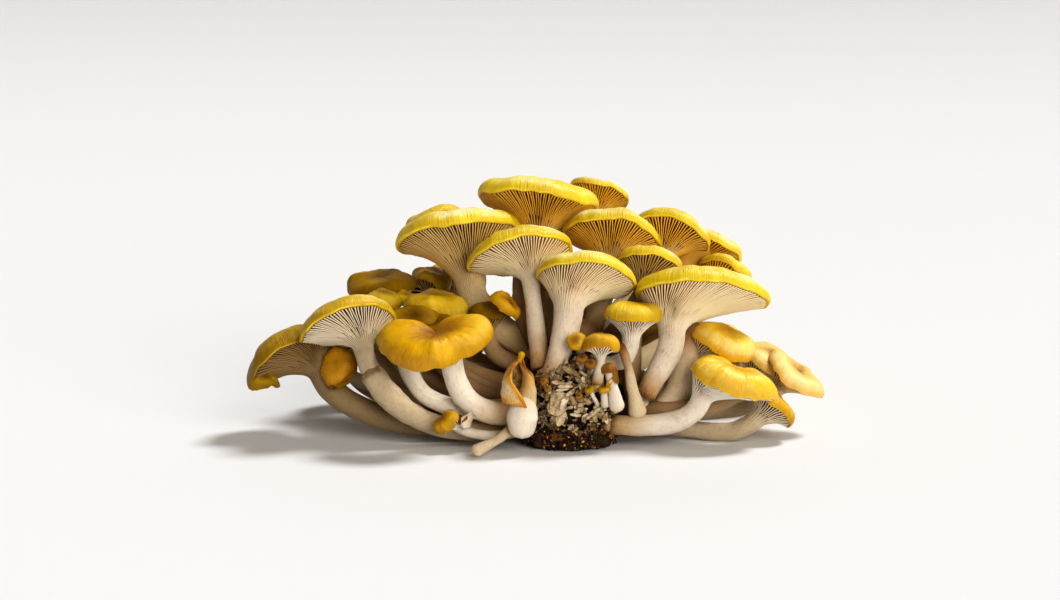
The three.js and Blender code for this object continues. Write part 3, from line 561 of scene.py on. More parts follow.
class Gills:
    """The columns round a fan of gills: two on each gill's edge and two down in the gap beside it."""

    def __init__(self, m):
        count = 4 * max(7, round(TURN * sum(m.half) / 2 * LIP_INSET / m.pitch / 4))
        pitch = TURN / count
        k = np.arange(count)
        order = np.where(k % 4 == 0, 0, np.where(k % 4 == 2, 1, 2))
        start = np.array([-9, -9, 0.0])[order] + np.array([0, 0, 0.24])[order] * chance(m.seed, k)
        self.order = np.repeat(order, 4)
        self.start = np.repeat(start, 4)
        self.ridge = np.tile([1.0, 1.0, 0.0, 0.0], count)
        self.base = (np.repeat(k, 4) + np.tile([-0.19, 0.19, 0.31, 0.69], count)) * pitch
        self.phase = np.repeat(TURN * chance(m.seed + 3, k), 4)
        self.pace = np.repeat(4 + 5 * chance(m.seed + 4, k), 4)
        self.sway = 0.13 * pitch

    def angle(self, out):
        return self.base + self.sway * np.sin(self.phase + self.pace * out) * min(1, 3 * out)

    def stand(self, out):
        """1 on the edge of each gill that reaches this far in, 0 in the gaps."""
        return self.ridge * smooth(out, self.start, self.start + 0.14)


def flesh_shape(out):
    """How deep the gills are at a share of the way out."""
    return (0.16 + 0.84 * smooth(out, 0, 0.28)) * (1 - 0.5 * out * out)


def fan_ring(m, axes, gills, out, along_stem):
    """One ring of the gill fan, which widens from the stem's top to the margin."""
    up, across, along = axes
    lip = LIP_DEPTH * m.half[0]
    angle = gills.angle(out)
    radius, rise = margin(m, angle)
    radius = radius * LIP_INSET - 0.2
    stand = gills.stand(out)
    proud = GILL_HEIGHT * m.half[0] * flesh_shape(out) * (1 - smooth(out, 0.8, 1))
    sunk_in = GILL_DEPTH * m.half[0] * flesh_shape(out)
    side = mix(-sunk_in, proud, stand)
    sideways = mix(1, 0.15, out)
    thick = m.stem[1] + side * sideways
    a = mix(thick * np.cos(angle), radius * np.cos(angle), out) + m.foot[0] * (1 - out)
    b = mix(thick * np.sin(angle), radius * np.sin(angle), out) + m.foot[1] * (1 - out)
    lift = -lip - FLESH_GAP - m.deep * fall(out) + rise * LIP_INSET ** 2 * out * out \
        - side * (1 - 0.6 * sideways)
    points = np.array(m.at) + np.outer(a, across) + np.outer(b, along) + np.outer(lift, up)
    # edge runs from 1 on a gill's edge down to -gap in the gaps, where the flesh paint puts painted shade
    gap = 0.55 + 0.45 * smooth(out, 0, 0.4)
    edge = np.where(gills.ridge > 0, mix(-gap, 1, stand), -gap)
    return points, np.full(len(angle), out), edge, round_grain(angle, along_stem + 0.5 * out)


def stem_line(m, axes):
    """Points along the middle of the stem, from its root to its top: one Bezier curve."""
    up, across, along = axes
    top = np.array(m.at) + across * m.foot[0] + along * m.foot[1] \
        - up * (LIP_DEPTH * m.half[0] + FLESH_GAP + m.deep)
    root = np.array(m.root, float)
    knots = [root, root + np.array(m.leave), top - up * m.arrive, top]
    t = np.linspace(0, 1, 241)[:, None]
    return (1 - t) ** 3 * knots[0] + 3 * t * (1 - t) ** 2 * knots[1] \
        + 3 * t * t * (1 - t) * knots[2] + t ** 3 * knots[3]


def along_line(line):
    """The distance down a line at each of its points, and a function that gives the place and the way
    at a distance."""
    steps = np.linalg.norm(np.diff(line, axis=0), axis=1)
    gone = np.concatenate([[0], np.cumsum(steps)])

    def at(distance):
        spot = np.array([np.interp(distance, gone, line[:, k]) for k in range(3)])
        ahead = np.array([np.interp(min(distance + 0.6, gone[-1]), gone, line[:, k]) for k in range(3)])
        behind = np.array([np.interp(max(distance - 0.6, 0), gone, line[:, k]) for k in range(3)])
        return spot, unit(ahead - behind)

    return gone[-1], at


def stem_rings(m, axes, gills):
    """Rings of the stem from the root up to just under the gills, which run down its top."""
    length, at = along_line(stem_line(m, axes))
    run = min(0.4 * length, 0.36 * m.half[0])
    plain = max(4, round((length - run) / STEM_STEP))
    distances = list(np.linspace(0, length - run, plain)) + [length - run * (1 - k / 7) for k in range(1, 8)]
    side_way = axes[1]
    rings = []
    for index in range(len(distances) - 1, -1, -1):
        distance = distances[index]
        middle, way = at(distance)
        side_way = unit(side_way - way * side_way.dot(way))
        other = np.cross(way, side_way)
        share = distance / length
        above = length - distance
        swell = 0.06 * math.sin(5 * share + m.seed) * min(1, above / 8)
        radius = mix(*m.stem, share) * (1 + swell)
        ribbed = index >= plain
        angle = gills.angle(0) if ribbed else turns(STEM_COLUMNS)
        edge = np.zeros(len(angle))
        relief = 0.0
        if ribbed:
            short_fade = np.clip(1 - above / (0.35 * run), 0, 1) ** 2
            fade = np.where(gills.order == 0, (1 - above / run) ** 2, short_fade)
            fade = np.where(gills.order == 2, 0, fade)
            low = GILL_DEPTH * m.half[0] * flesh_shape(0)
            high = GILL_HEIGHT * m.half[0] * flesh_shape(0)
            reach = (1 - above / run) ** 1.3
            full = gills.stand(0.0)
            stand = full * fade
            relief = mix(-low, high, full) * np.where(full > 0.5, fade, reach)
            edge = np.where(full > 0.5, stand, -0.55 * reach)
        spots = round_of(middle, side_way, other, radius, angle)
        bumps = 0.22 * ripples(spots, m.seed + 1, 11) + 0.1 * ripples(spots, m.seed + 2, 4.5)
        spots = round_of(middle, side_way, other, radius + bumps * min(1, above / 4) + relief, angle)
        grain = round_grain(angle, distance / 30 + m.seed)
        rings.insert(0, (spots, np.full(len(angle), share - 1), edge, grain))
    return rings


def mushroom_flesh(skin, m):
    """The stem and its gills as one closed skin."""
    axes = axes_of(m)
    gills = Gills(m)
    rings = stem_rings(m, axes, gills)
    along_stem = rings.pop()[3][0, 2]
    count = FAN_RINGS[0] if m.half[0] > FULL_FAN else FAN_RINGS[1]
    for step in range(count + 1):
        rings.append(fan_ring(m, axes, gills, (step / count) ** 1.6, along_stem))
    # closed above, inside the cap
    up = axes[0]
    points, way, edge, grain = rings[-1]
    middle = np.array(m.at)
    for spots in (points + up * 0.8, middle + (points - middle) * 0.8 + up):
        rings.append((spots, way, 0 * edge, grain))
    skin.loft(rings)


# ---------------------------------------------------------------- limbs and lumps
def spline(knots, count=160):
    """A smooth line through points."""
    p = np.array(knots, float)
    p = np.vstack([2 * p[0] - p[1], p, 2 * p[-1] - p[-2]])
    made = []
    spans = len(knots) - 1
    for t in np.linspace(0, spans, count):
        i = min(int(t), spans - 1)
        f = t - i
        a, b, c, d = p[i:i + 4]
        made.append(0.5 * ((2 * b) + (c - a) * f + (2 * a - 5 * b + 4 * c - d) * f * f
                           + (3 * b - a - 3 * c + d) * f ** 3))
    return np.array(made)


def limb(skin, knots, girth, seed, columns=32, rough=1.0, way=(-1.0, 0.0), step=1.6):
    """A round limb along a line, with a girth at each of its points and domed ends."""
    length, at = along_line(spline(knots))
    steps = max(6, round(length / step))
    side_way = np.array([0.3, 0.1, 1.0])
    angle = turns(columns)
    rings = []
    for index in range(-3, steps + 4):
        share = min(max(index / steps, 0), 1)
        middle, direction = at(share * length)
        side_way = unit(side_way - direction * side_way.dot(direction))
        other = np.cross(direction, side_way)
        radius = float(np.interp(share * (len(girth) - 1), range(len(girth)), girth))
        past = max(-index, index - steps, 0) / 3.3
        middle = middle + direction * (radius * 0.8 * math.sin(past * math.pi / 2) * (1 if index > 0 else -1))
        radius = radius * math.cos(past * math.pi / 2) if past else radius
        spots = round_of(middle, side_way, other, radius, angle)
        bumps = rough * (0.22 * ripples(spots, seed, 10) + 0.12 * ripples(spots, seed + 2, 4))
        spots = round_of(middle, side_way, other, np.maximum(radius + bumps, 0.15), angle)
        grain = round_grain(angle, share * length / 30 + seed)
        rings.append((spots, np.full(columns, mix(*way, share)), np.zeros(columns), grain))
    skin.loft(rings)


def ball(detail):
    """Points and faces of a ball of triangles with radius 1."""
    mesh = bpy.data.meshes.new("ball")
    made = bmesh.new()
    bmesh.ops.create_icosphere(made, subdivisions=detail, radius=1)
    made.to_mesh(mesh)
    made.free()
    points = np.array([v.co for v in mesh.vertices])
    faces = np.array([list(f.vertices) for f in mesh.polygons])
    bpy.data.meshes.remove(mesh)
    return points, faces


BALLS = {detail: ball(detail) for detail in (1, 2, 5, 6)}


def lump(at, half, detail, rough, seed):
    """A rough ball, stretched to its half sizes, with bumps from a formula."""
    p, faces = BALLS[detail]
    bump = np.sin(5.1 * p[:, 0] + seed) * np.cos(4.3 * p[:, 1] - seed) \
        + 0.7 * np.sin(7.7 * p[:, 2] + 3.1 * p[:, 0] + 2 * seed) + 0.5 * np.cos(9.3 * p[:, 1] + 6.1 * p[:, 2])
    return p * (1 + rough * bump)[:, None] * np.array(half) + np.array(at), faces


# ---------------------------------------------------------------- paint
def rgb(code):
    """A colour from its six hex digits, as linear light."""
    made = []
    for k in (0, 2, 4):
        v = int(code[k:k + 2], 16) / 255
        made.append(v / 12.92 if v <= 0.04045 else ((v + 0.055) / 1.055) ** 2.4)
    return (*made, 1.0)


class Paint:
    """One material, built up from nodes."""

    def __init__(self, name, roughness, glow=0.0, radius=(1.0, 0.5, 0.2), scale=3.0, specular=0.5):
        self.material = bpy.data.materials.new(name)
        self.material.use_nodes = True
        self.tree = self.material.node_tree
        self.shader = next(n for n in self.tree.nodes if n.type == "BSDF_PRINCIPLED")
        self.shader.inputs["Roughness"].default_value = roughness
        self.shader.inputs["Subsurface Weight"].default_value = glow
        self.shader.inputs["Subsurface Radius"].default_value = radius
        self.shader.inputs["Subsurface Scale"].default_value = scale * MM
        self.shader.inputs["Specular IOR Level"].default_value = specular

    def node(self, kind, settings=(), inputs=()):
        made = self.tree.nodes.new(kind)
        for key, value in dict(settings).items():
            setattr(made, key, value)
        for key, value in dict(inputs).items():
            self.give(made.inputs[key], value)
        return made

    def give(self, socket, value):
        if isinstance(value, bpy.types.NodeSocket):
            self.tree.links.new(value, socket)
        else:
            socket.default_value = value

    def attribute(self, name, vector=False):
        made = self.node("ShaderNodeAttribute", {"attribute_name": name})
        return made.outputs["Vector" if vector else "Fac"]

    def place(self):
        return self.node("ShaderNodeTexCoord").outputs["Object"]

    def noise(self, where, scale, detail=3.0, rough=0.55, bend=0.0):
        made = self.node("ShaderNodeTexNoise", inputs={
            "Vector": where, "Scale": scale, "Detail": detail, "Roughness": rough, "Distortion": bend})
        return made.outputs["Fac"]

    def math(self, kind, a, b=0.0, clamp=False):
        made = self.node("ShaderNodeMath", {"operation": kind, "use_clamp": clamp}, {0: a, 1: b})
        return made.outputs[0]

    def product(self, a, b):
        return self.math("MULTIPLY", a, b)

    def sway(self, value, noise, share):
        """A value moved up and down by a noise, by half of this share each way."""
        return self.math("ADD", value, self.product(self.math("SUBTRACT", noise, 0.5), share))

    def spread(self, value, low, high, new_low=0.0, new_high=1.0):
        """A value mapped from one span to another, eased at both ends and kept inside."""
        made = self.node("ShaderNodeMapRange", {"interpolation_type": "SMOOTHSTEP"}, {
            "Value": value, "From Min": low, "From Max": high, "To Min": new_low, "To Max": new_high})
        return made.outputs["Result"]

    def ramp(self, value, stops):
        made = self.node("ShaderNodeValToRGB", inputs={"Fac": value})
        ramp = made.color_ramp
        while len(ramp.elements) < len(stops):
            ramp.elements.new(0.5)
        for element, (place, colour) in zip(ramp.elements, stops):
            element.position = place
            element.color = rgb(colour)
        return made.outputs["Color"]

    def mix(self, share, a, b, kind="MIX"):
        made = self.node("ShaderNodeMix", {"data_type": "RGBA", "blend_type": kind})
        self.give(made.inputs[0], share)
        self.give(made.inputs[6], rgb(a) if isinstance(a, str) else a)
        self.give(made.inputs[7], rgb(b) if isinstance(b, str) else b)
        return made.outputs[2]

    def colour(self, value):
        self.give(self.shader.inputs["Base Color"], value)

    def roughness(self, value):
        self.give(self.shader.inputs["Roughness"], value)

    def bump(self, layers):
        """Each layer is a height from 0 to 1 and how far it stands out, in millimetres."""
        normal = None
        for height, distance in layers:
            made = self.node("ShaderNodeBump", inputs={
                "Height": height, "Distance": distance * MM, "Strength": 1.0})
            if normal is not None:
                self.give(made.inputs["Normal"], normal)
            normal = made.outputs["Normal"]
        self.give(self.shader.inputs["Normal"], normal)


def cap_paint(name, centre, middle, rim, edge, bruise, bruised, bloom, bloomed, shine=0.3):
    """Cap skin: deeper in the middle and lighter towards the rim, clouded, with fine fibres running out
    from the middle, pale patches of painted highlight on its shoulder and bruises near the margin."""
    p = Paint(name, 0.4, glow=0.12, radius=(1.0, 0.7, 0.1), scale=1.0, specular=shine)
    way, grain, place = p.attribute("way"), p.attribute("grain", True), p.place()
    fibres = p.noise(grain, 9, 5, 0.6)
    hairs = p.noise(grain, 34, 3, 0.6)
    clouds = p.noise(place, 70, 3, 0.55, 0.4)
    pores = p.noise(place, 1500, 2)
    tone = p.sway(p.product(way, 0.72), clouds, 0.7)
    tone = p.sway(p.sway(tone, fibres, 0.28), hairs, 0.14)
    base = p.ramp(tone, [(0.05, centre), (0.3, middle), (0.5, rim), (0.78, middle)])
    # pale patches on the shoulder, from about way 0.45 out to the rim: a painted highlight
    patches = p.sway(p.noise(place, 48, 4, 0.6, 0.4), hairs, 0.4)
    soft = p.product(p.spread(patches, 0.41, 0.68, 0.0, bloomed), p.spread(way, 0.45, 0.8))
    base = p.mix(p.product(soft, p.spread(way, 1.0, 0.93)), base, bloom)
    lined = p.product(p.spread(way, 1.0, 1.05), p.spread(way, 1.14, 1.06))
    base = p.mix(p.product(lined, p.spread(p.noise(place, 110, 3), 0.4, 0.6, 0.2, 0.9)), base, edge)
    dark = p.math("MULTIPLY", p.spread(p.noise(place, 90, 5, 0.6, 0.3), 0.6 - bruised * 0.15, 0.85),
                  p.spread(way, 0.5, 1.0, 0.1 * bruised, 1.3 * bruised), True)
    p.colour(p.mix(dark, base, bruise))
    p.roughness(p.spread(p.noise(place, 260, 4), 0.3, 0.75, 0.31, 0.5))
    striped = p.product(hairs, p.spread(way, 0.6, 1.0))
    p.bump([(fibres, 0.4), (striped, 0.4), (clouds, 0.9), (pores, 0.04)])
    return p.material


def flesh_paint(name, ridge, gap, deep_gap_shade, stem, tint, base):
    """Stem and gills: a cream stem with long fibres and brown scuffs, brown and darker at its foot with dirt
    and painted shade, and gills with pale edges and painted shade in the gaps between them."""
    p = Paint(name, 0.55, glow=0.12, radius=(1.0, 0.6, 0.35), scale=0.5, specular=0.35)
    way, edge = p.attribute("way"), p.attribute("edge")
    grain, place = p.attribute("grain", True), p.place()
    fibres = p.noise(grain, 11, 5, 0.62)
    hairs = p.noise(grain, 42, 3, 0.6)
    clouds = p.noise(place, 95, 5, 0.65, 0.5)
    fine = p.noise(place, 520, 5, 0.7)
    tone = p.math("ADD", p.sway(p.sway(way, clouds, 0.35), fibres, 0.22), 1.0)
    # towards the root the stem turns through its tint to its dark brown base: partly staining, partly painted
    # shade where the stems crowd into the foot
    plain = p.ramp(tone, [(0.0, base), (0.13, tint), (0.45, stem), (0.95, stem)])
    plain = p.mix(p.spread(fibres, 0.5, 0.7, 0.0, 0.34), plain, tint)
    plain = p.mix(p.spread(fine, 0.5, 0.68, 0.0, 0.28), plain, tint)
    scuffs = p.product(p.spread(p.noise(place, 160, 6, 0.65, 0.4), 0.58, 0.8), 0.5)
    plain = p.mix(scuffs, plain, "a27444")
    far = p.spread(way, -0.05, 0.5)
    # the gaps between gills are painted shade; towards the margin they take the deeper gap colour, an orange
    # brown that also stands for light through the cap
    gap_shade = p.spread(edge, 0.96, 0.2)
    low = p.mix(far, p.mix(0.22, plain, gap), p.mix(p.spread(way, 0.55, 1.0), gap, deep_gap_shade))
    flesh = p.mix(gap_shade, plain, low)
    flesh = p.mix(p.product(p.spread(edge, 0.5, 0.98), p.spread(way, -0.3, 0.15)), flesh, ridge)
    p.colour(flesh)
    p.bump([(fibres, 0.35), (hairs, 0.14), (clouds, 0.3), (fine, 0.08)])
    return p.material


def crumb_paint(name, stops, roughness=0.85, streaked=0.0):
    """Bits and pieces: each has its own way value, which picks its colour, with mottling and streaks."""
    p = Paint(name, roughness, specular=0.3)
    way, place, grain = p.attribute("way"), p.place(), p.attribute("grain", True)
    mottle = p.noise(place, 620, 5, 0.7)
    streaks = p.noise(grain, 5, 5, 0.7)
    tone = p.sway(p.sway(way, mottle, 0.5), streaks, streaked)
    dust = p.ramp(mottle, [(0.35, "140c06"), (0.7, "f0e4cc")])
    p.colour(p.mix(0.4, p.ramp(tone, stops), dust, "SOFT_LIGHT"))
    p.bump([(mottle, 0.3), (streaks, 0.3 * streaked), (p.noise(place, 2400, 2), 0.08)])
    return p.material


# the colours of the centre, middle, rim, edge and bruises, how bruised it is, the colour of its painted
# highlight and how much of it, and its shine
CAP_PAINTS = {
    "golden": ("cc9c0a", "dcb814", "ecd424", "f8e63c", "8a5a10", 0.05, "fcf6c4", 0.8, 0.5),
    "plain": ("c89808", "dab412", "e6c81c", "f4de34", "8a5a10", 0.2, "f6e878", 0.4, 0.35),
    # this row and the next are darker copies of the golden skin: painted shade for caps on the shaded left
    # and inside the cluster
    "moss": ("6c4e02", "8e6c02", "b08c06", "d4b41c", "5a330c", 0.5, "ccb040", 0.3, 0.2),
    "olive": ("664800", "826000", "a07804", "c8a418", "4f2e08", 0.15, "b8981c", 0.1, 0.08),
    "orange": ("946000", "b88400", "d8a600", "f0c814", "84480c", 0.25, "f4d440", 0.25, 0.3),
    "honey": ("b07a02", "b88204", "c08a04", "e0b018", "7a420c", 0.35, "dcae20", 0.2, 0.25),
    "mustard": ("a67e04", "be980a", "d8b412", "f0d830", "6e4410", 0.2, "f4ec98", 0.7, 0.35),
    "lemon": ("b48a04", "cca408", "e2bc10", "f2d024", "7a5010", 0.1, "f6e060", 0.35, 0.3),
    "sunny": ("c88c06", "dcaa0a", "ecc416", "f8de34", "8a5410", 0.15, "fceca0", 0.6, 0.6),
    # pale: its dark centre is painted shade in the hollow of the cap
    "pale": ("8e6012", "e0b85c", "ecca78", "f8e6a4", "8a5a20", 0.35, "f4e4b0", 0.4),
    "rust": ("70400a", "8e5a0e", "aa7818", "c8942a", "4a260a", 0.7, "d0a860", 0.3),
}
# the colours of the gills' edges, the painted shade in the gaps and in the deepest gaps, the stem, its tint,
# and its base, brown with dirt and darkened as painted shade
FLESH_PAINTS = {
    "cream": ("f6e4b8", "9a540c", "7c3c06", "f0e0bc", "b8925e", "5c3c20"),
    "amber": ("f0dcac", "9c540c", "783a06", "faf0da", "c4a06c", "5c3c20"),
    "gold": ("e8b020", "a06808", "6e4004", "c89a38", "a07c3c", "38230f"),
    "white": ("fcf4e4", "a8702c", "84501a", "fbf4e4", "cdb184", "7a5a34"),
    "brown": ("eeb42c", "5e2c02", "3a1801", "d6bd8c", "a07c4a", "38230f"),
    "tan": ("dcb670", "46240a", "2c1404", "d6bf90", "a88656", "38230f"),
    # this row and the next two are darker copies of the cream flesh: painted shade for stems and gills on the
    # shaded left, underneath and inside the cluster
    "grey": ("8e6e3a", "2e1a0a", "201006", "a68c64", "78603c", "3a2612"),
    "dim": ("ecdcc0", "6e3e12", "4a280a", "d8c6a4", "9c7e56", "4a2e16"),
    "shade": ("c8a468", "5a3a16", "38220c", "bc9c72", "7c5a36", "2c1a0c"),
}
PAINTS = {name: cap_paint(name + "_skin", *row) for name, row in CAP_PAINTS.items()}
PAINTS.update({name: flesh_paint(name + "_flesh", *row) for name, row in FLESH_PAINTS.items()})
SOIL = crumb_paint("soil", [
    (0.0, "140b05"), (0.35, "2e1c0c"), (0.65, "5a3a1a"), (0.86, "94601c"), (0.95, "f0a81c")])
HUSK = crumb_paint("husk", [
    (0.0, "130b05"), (0.2, "4e341a"), (0.5, "9c8058"), (0.78, "cdbb9a"), (1.0, "f2ebdc")], 0.88, 0.9)


# ---------------------------------------------------------------- the caps and the bunches
for name, m in mushrooms.items():
    skin = Skin()
    cap_skin(skin, m)
    skin.object("skin_" + name, [PAINTS[m.skin]], "cap_skin", ["cap_" + name])

for name, bunch in BUNCHES.items():
    skin = Skin()
    kinds = sorted({mushrooms[member].flesh for member in bunch["of"]})
    for member in bunch["of"]:
        skin.paint = kinds.index(mushrooms[member].flesh)
        mushroom_flesh(skin, mushrooms[member])
    if bunch.get("shoots"):
        kinds.append(bunch.get("shoot_kind", "shade"))
        skin.paint = len(kinds) - 1
    for number, (knots, girth) in enumerate(bunch.get("shoots", ())):
        limb(skin, knots, girth, number + 3)
    skin.paint = 0
    radius = bunch["radius"]
    points, faces = lump(bunch["foot"], (radius * 0.78,) * 3, 5, 0.03, radius)
    points = points + 0.15 * ripples(points, radius, 9)[:, None] * unit(points - np.array(bunch["foot"]))
    skin.blob(points, faces, bunch.get("tone", -0.85))
    skin.object("flesh_" + name, [PAINTS[kind] for kind in kinds], "flesh", [name])

# ---------------------------------------------------------------- the plug
# Rough balls, each with its centre and half sizes.
SUBSTRATE = dict(at=(-1, 24, 16), half=(20, 36, 22))
CRUST = dict(at=(-1, -2, 4), half=(17.2, 14.6, 6.6))
HUSKS = dict(at=(1, -3, 17), half=(15, 13.5, 17))
CLEARANCE = 1.2  # no small crumb or husk is set lower than this
CLOD_CLEARANCE = 3.4  # nor a clod than this
CLUMP_TRIES, LOOSE_TRIES = 1500, 420  # places tried for the clump's husks and for the loose ones


def frame_of(normal, spin, tip):
    """Two ways across a surface and one out of it, turned by spin and tipped up by tip."""
    normal = unit(normal)
    first = unit(np.cross(normal, [0.31, 0.22, 0.93]))
    second = np.cross(normal, first)
    long = first * math.cos(spin) + second * math.sin(spin)
    wide = np.cross(normal, long)
    raised = long * math.cos(tip) + normal * math.sin(tip)
    return raised, wide, normal * math.cos(tip) - long * math.sin(tip)


def flake(skin, at, axes, size, tone, curl=0.2, seed=0.0, rings=6, columns=8, blunt=0.6):
    """A husk: a thin, curled leaf of length, width and thickness, streaked along its length."""
    long, wide, out = axes
    length, width, thick = size
    angle = turns(columns)
    made = []
    for k in range(rings):
        s = (k + 0.35) / (rings - 0.3)
        swell = math.sin(math.pi * min(s, 1)) ** blunt
        bend = curl * length * (s - 0.5) ** 2 * 2
        cup = np.abs(np.cos(angle)) ** 2 * curl * width * swell
        middle = np.array(at) + long * (length * (s - 0.5)) + out * bend
        torn = 1 + 0.16 * math.sin(9 * s + seed * 7) + 0.12 * np.sin(3 * angle + 5 * s + seed)
        spots = middle + np.outer(np.cos(angle) * width / 2 * swell * torn, wide) \
            + np.outer(np.sin(angle) * thick / 2 * (0.35 + 0.65 * swell) + cup, out)
        spots = spots + np.outer(0.05 * width * ripples(spots, seed, 3.2), out)
        grain = np.stack([np.cos(angle) + 3.7 * seed, 0.3 * np.sin(angle), np.full(columns, 0.22 * s)], 1)
        ways = tone - 0.2 * np.abs(np.cos(angle)) ** 3 + 0.08 * ripples(spots, seed + 1, 2.2)
        made.append((spots, ways, np.full(columns, s), grain))
    skin.loft(made)


def on_lump(shape, way):
    """A place on a lump's surface and the way out of it there."""
    way = unit(way)
    return np.array(shape["at"]) + way * np.array(shape["half"]), unit(way / np.array(shape["half"]))


GOLDEN_ANGLE = 2.399963  # radians; spreads directions evenly


def golden_ways(count, low, high):
    """Directions spread evenly round a ball between two levels."""
    for i in range(count):
        level = mix(low, high, (i + 0.5) / count)
        turn = i * GOLDEN_ANGLE
        flat = math.sqrt(1 - level * level)
        yield i, np.array([flat * math.cos(turn), flat * math.sin(turn), level])


def crumbs(skin, shape, count, low, high, size, seed, keep, tones, lift=0.0):
    """Grains of many sizes between two levels of a lump, sunk half into it or lifted off it."""
    for i, way in golden_ways(count, low, high):
        spot, out = on_lump(shape, way + 0.12 * (chance(seed, [i, i + 7000, i + 14000]) - 0.5))
        if not keep(spot):
            continue
        grain = size * (0.45 + 1.3 * chance(seed + 1, i) ** 2)
        points, faces = BALLS[1 if grain < 1.45 else 2]
        stretch = 0.6 + 0.8 * chance(seed + 2, [i, i + 5000, i + 9000])
        lumpy = points * (0.6 + 0.8 * chance(i, np.arange(len(points))))[:, None]
        tone = mix(*tones, chance(seed + 3, i) ** 2)
        skin.blob(lumpy * stretch * grain + spot + out * lift, faces, tone)


def above_ground(spot):
    return spot[2] > CLEARANCE


def clods_clear(spot):
    return spot[2] > CLOD_CLEARANCE


# The dark lump that the stems grow from, and its foot. The lump reaches up between the stems, where its dark
# soil stands in as painted shade.
soil = Skin()
for shape, detail, bumps, seed in ((SUBSTRATE, 5, 0.03, 2), (CRUST, 6, 0.05, 4)):
    points, faces = lump(shape["at"], shape["half"], detail, bumps, seed)
    out = unit((points - np.array(shape["at"])) / np.array(shape["half"]))
    rough = 0.7 * ripples(points, 3, 6) + 0.5 * ripples(points, 5, 2.6) + 0.2 * ripples(points, 8, 1.2)
    points = points + out * rough[:, None]
    points[:, 2] = np.maximum(points[:, 2], 0.0)
    soil.blob(points, faces, 0.35 + 0.3 * ripples(points, 4, 5))
crumbs(soil, CRUST, 40, -0.5, 0.5, 1.7, 51, clods_clear, (0.3, 0.8))
crumbs(soil, CRUST, 1100, -0.5, 0.9, 0.8, 21, above_ground, (0.0, 0.75))
crumbs(soil, CRUST, 320, -0.45, 0.6, 0.36, 27, above_ground, (0.8, 1.05), lift=0.7)
crumbs(soil, SUBSTRATE, 500, -0.6, 0.9, 1.0, 31, above_ground, (0.0, 0.8))
soil.object("soil", [SOIL], "substrate", ["substrate"])

# The plug's face: a clump of husks and seed hulls, grown through with pale threads.
husks = Skin()
# the core under the husks is near black: painted shade for the gaps between them
points, faces = lump(HUSKS["at"], np.array(HUSKS["half"]) * 0.93, 5, 0.03, 6)
points = points + 0.7 * ripples(points, 2, 5)[:, None] * unit(points - np.array(HUSKS["at"]))
points[:, 2] = np.maximum(points[:, 2], 0.3)
husks.blob(points, faces, 0.02 + 0.05 * ripples(points, 4, 4))
for i, way in golden_ways(CLUMP_TRIES, -0.72, 0.97):
    if way[1] > 0.4:
        continue
    spot, out = on_lump(HUSKS, way + 0.2 * (chance(5, [i, i + 900, i + 1800]) - 0.5))
    if not above_ground(spot) or ripples(spot, 9, 6.5) > 0.42:
        continue
    size = 0.3 + 0.7 * chance(6, i) ** 1.8
    low = smooth(spot[2], 12, 3)
    tip = mix(-0.2, 1.2, chance(9, i))
    matted = smooth(ripples(spot, 4, 14), -0.1, 0.4)
    tone = mix(0.16 + 0.8 * chance(8, i), 0.7 + 0.3 * chance(8, i), 0.6 * matted)
    flake(husks, spot + out * mix(0.1, 0.9, chance(11, i)), frame_of(out, TURN * chance(7, i), tip),
          (6.2 * size, 2.5 * size, 0.5), mix(tone, 0.12, 0.8 * low), mix(0.05, 0.6, chance(10, i)), i, 5)
# loose husks in the dark foot of the plug
for i, way in golden_ways(LOOSE_TRIES, -0.45, 0.85):
    spot, out = on_lump(CRUST, way + 0.15 * (chance(15, [i, i + 900, i + 1800]) - 0.5))
    if way[1] > 0.45 or not above_ground(spot):
        continue
    size = 0.3 + 0.5 * chance(16, i) ** 2
    axes = frame_of(out, TURN * chance(17, i), mix(-0.1, 0.9, chance(19, i)))
    tone = 0.02 + (0.4 + 0.5 * smooth(spot[2], 3, 8)) * chance(18, i) ** 2
    flake(husks, spot + out * 0.3, axes, (6 * size, 2.2 * size, 0.5), tone, 0.4 * chance(20, i), i, 5)
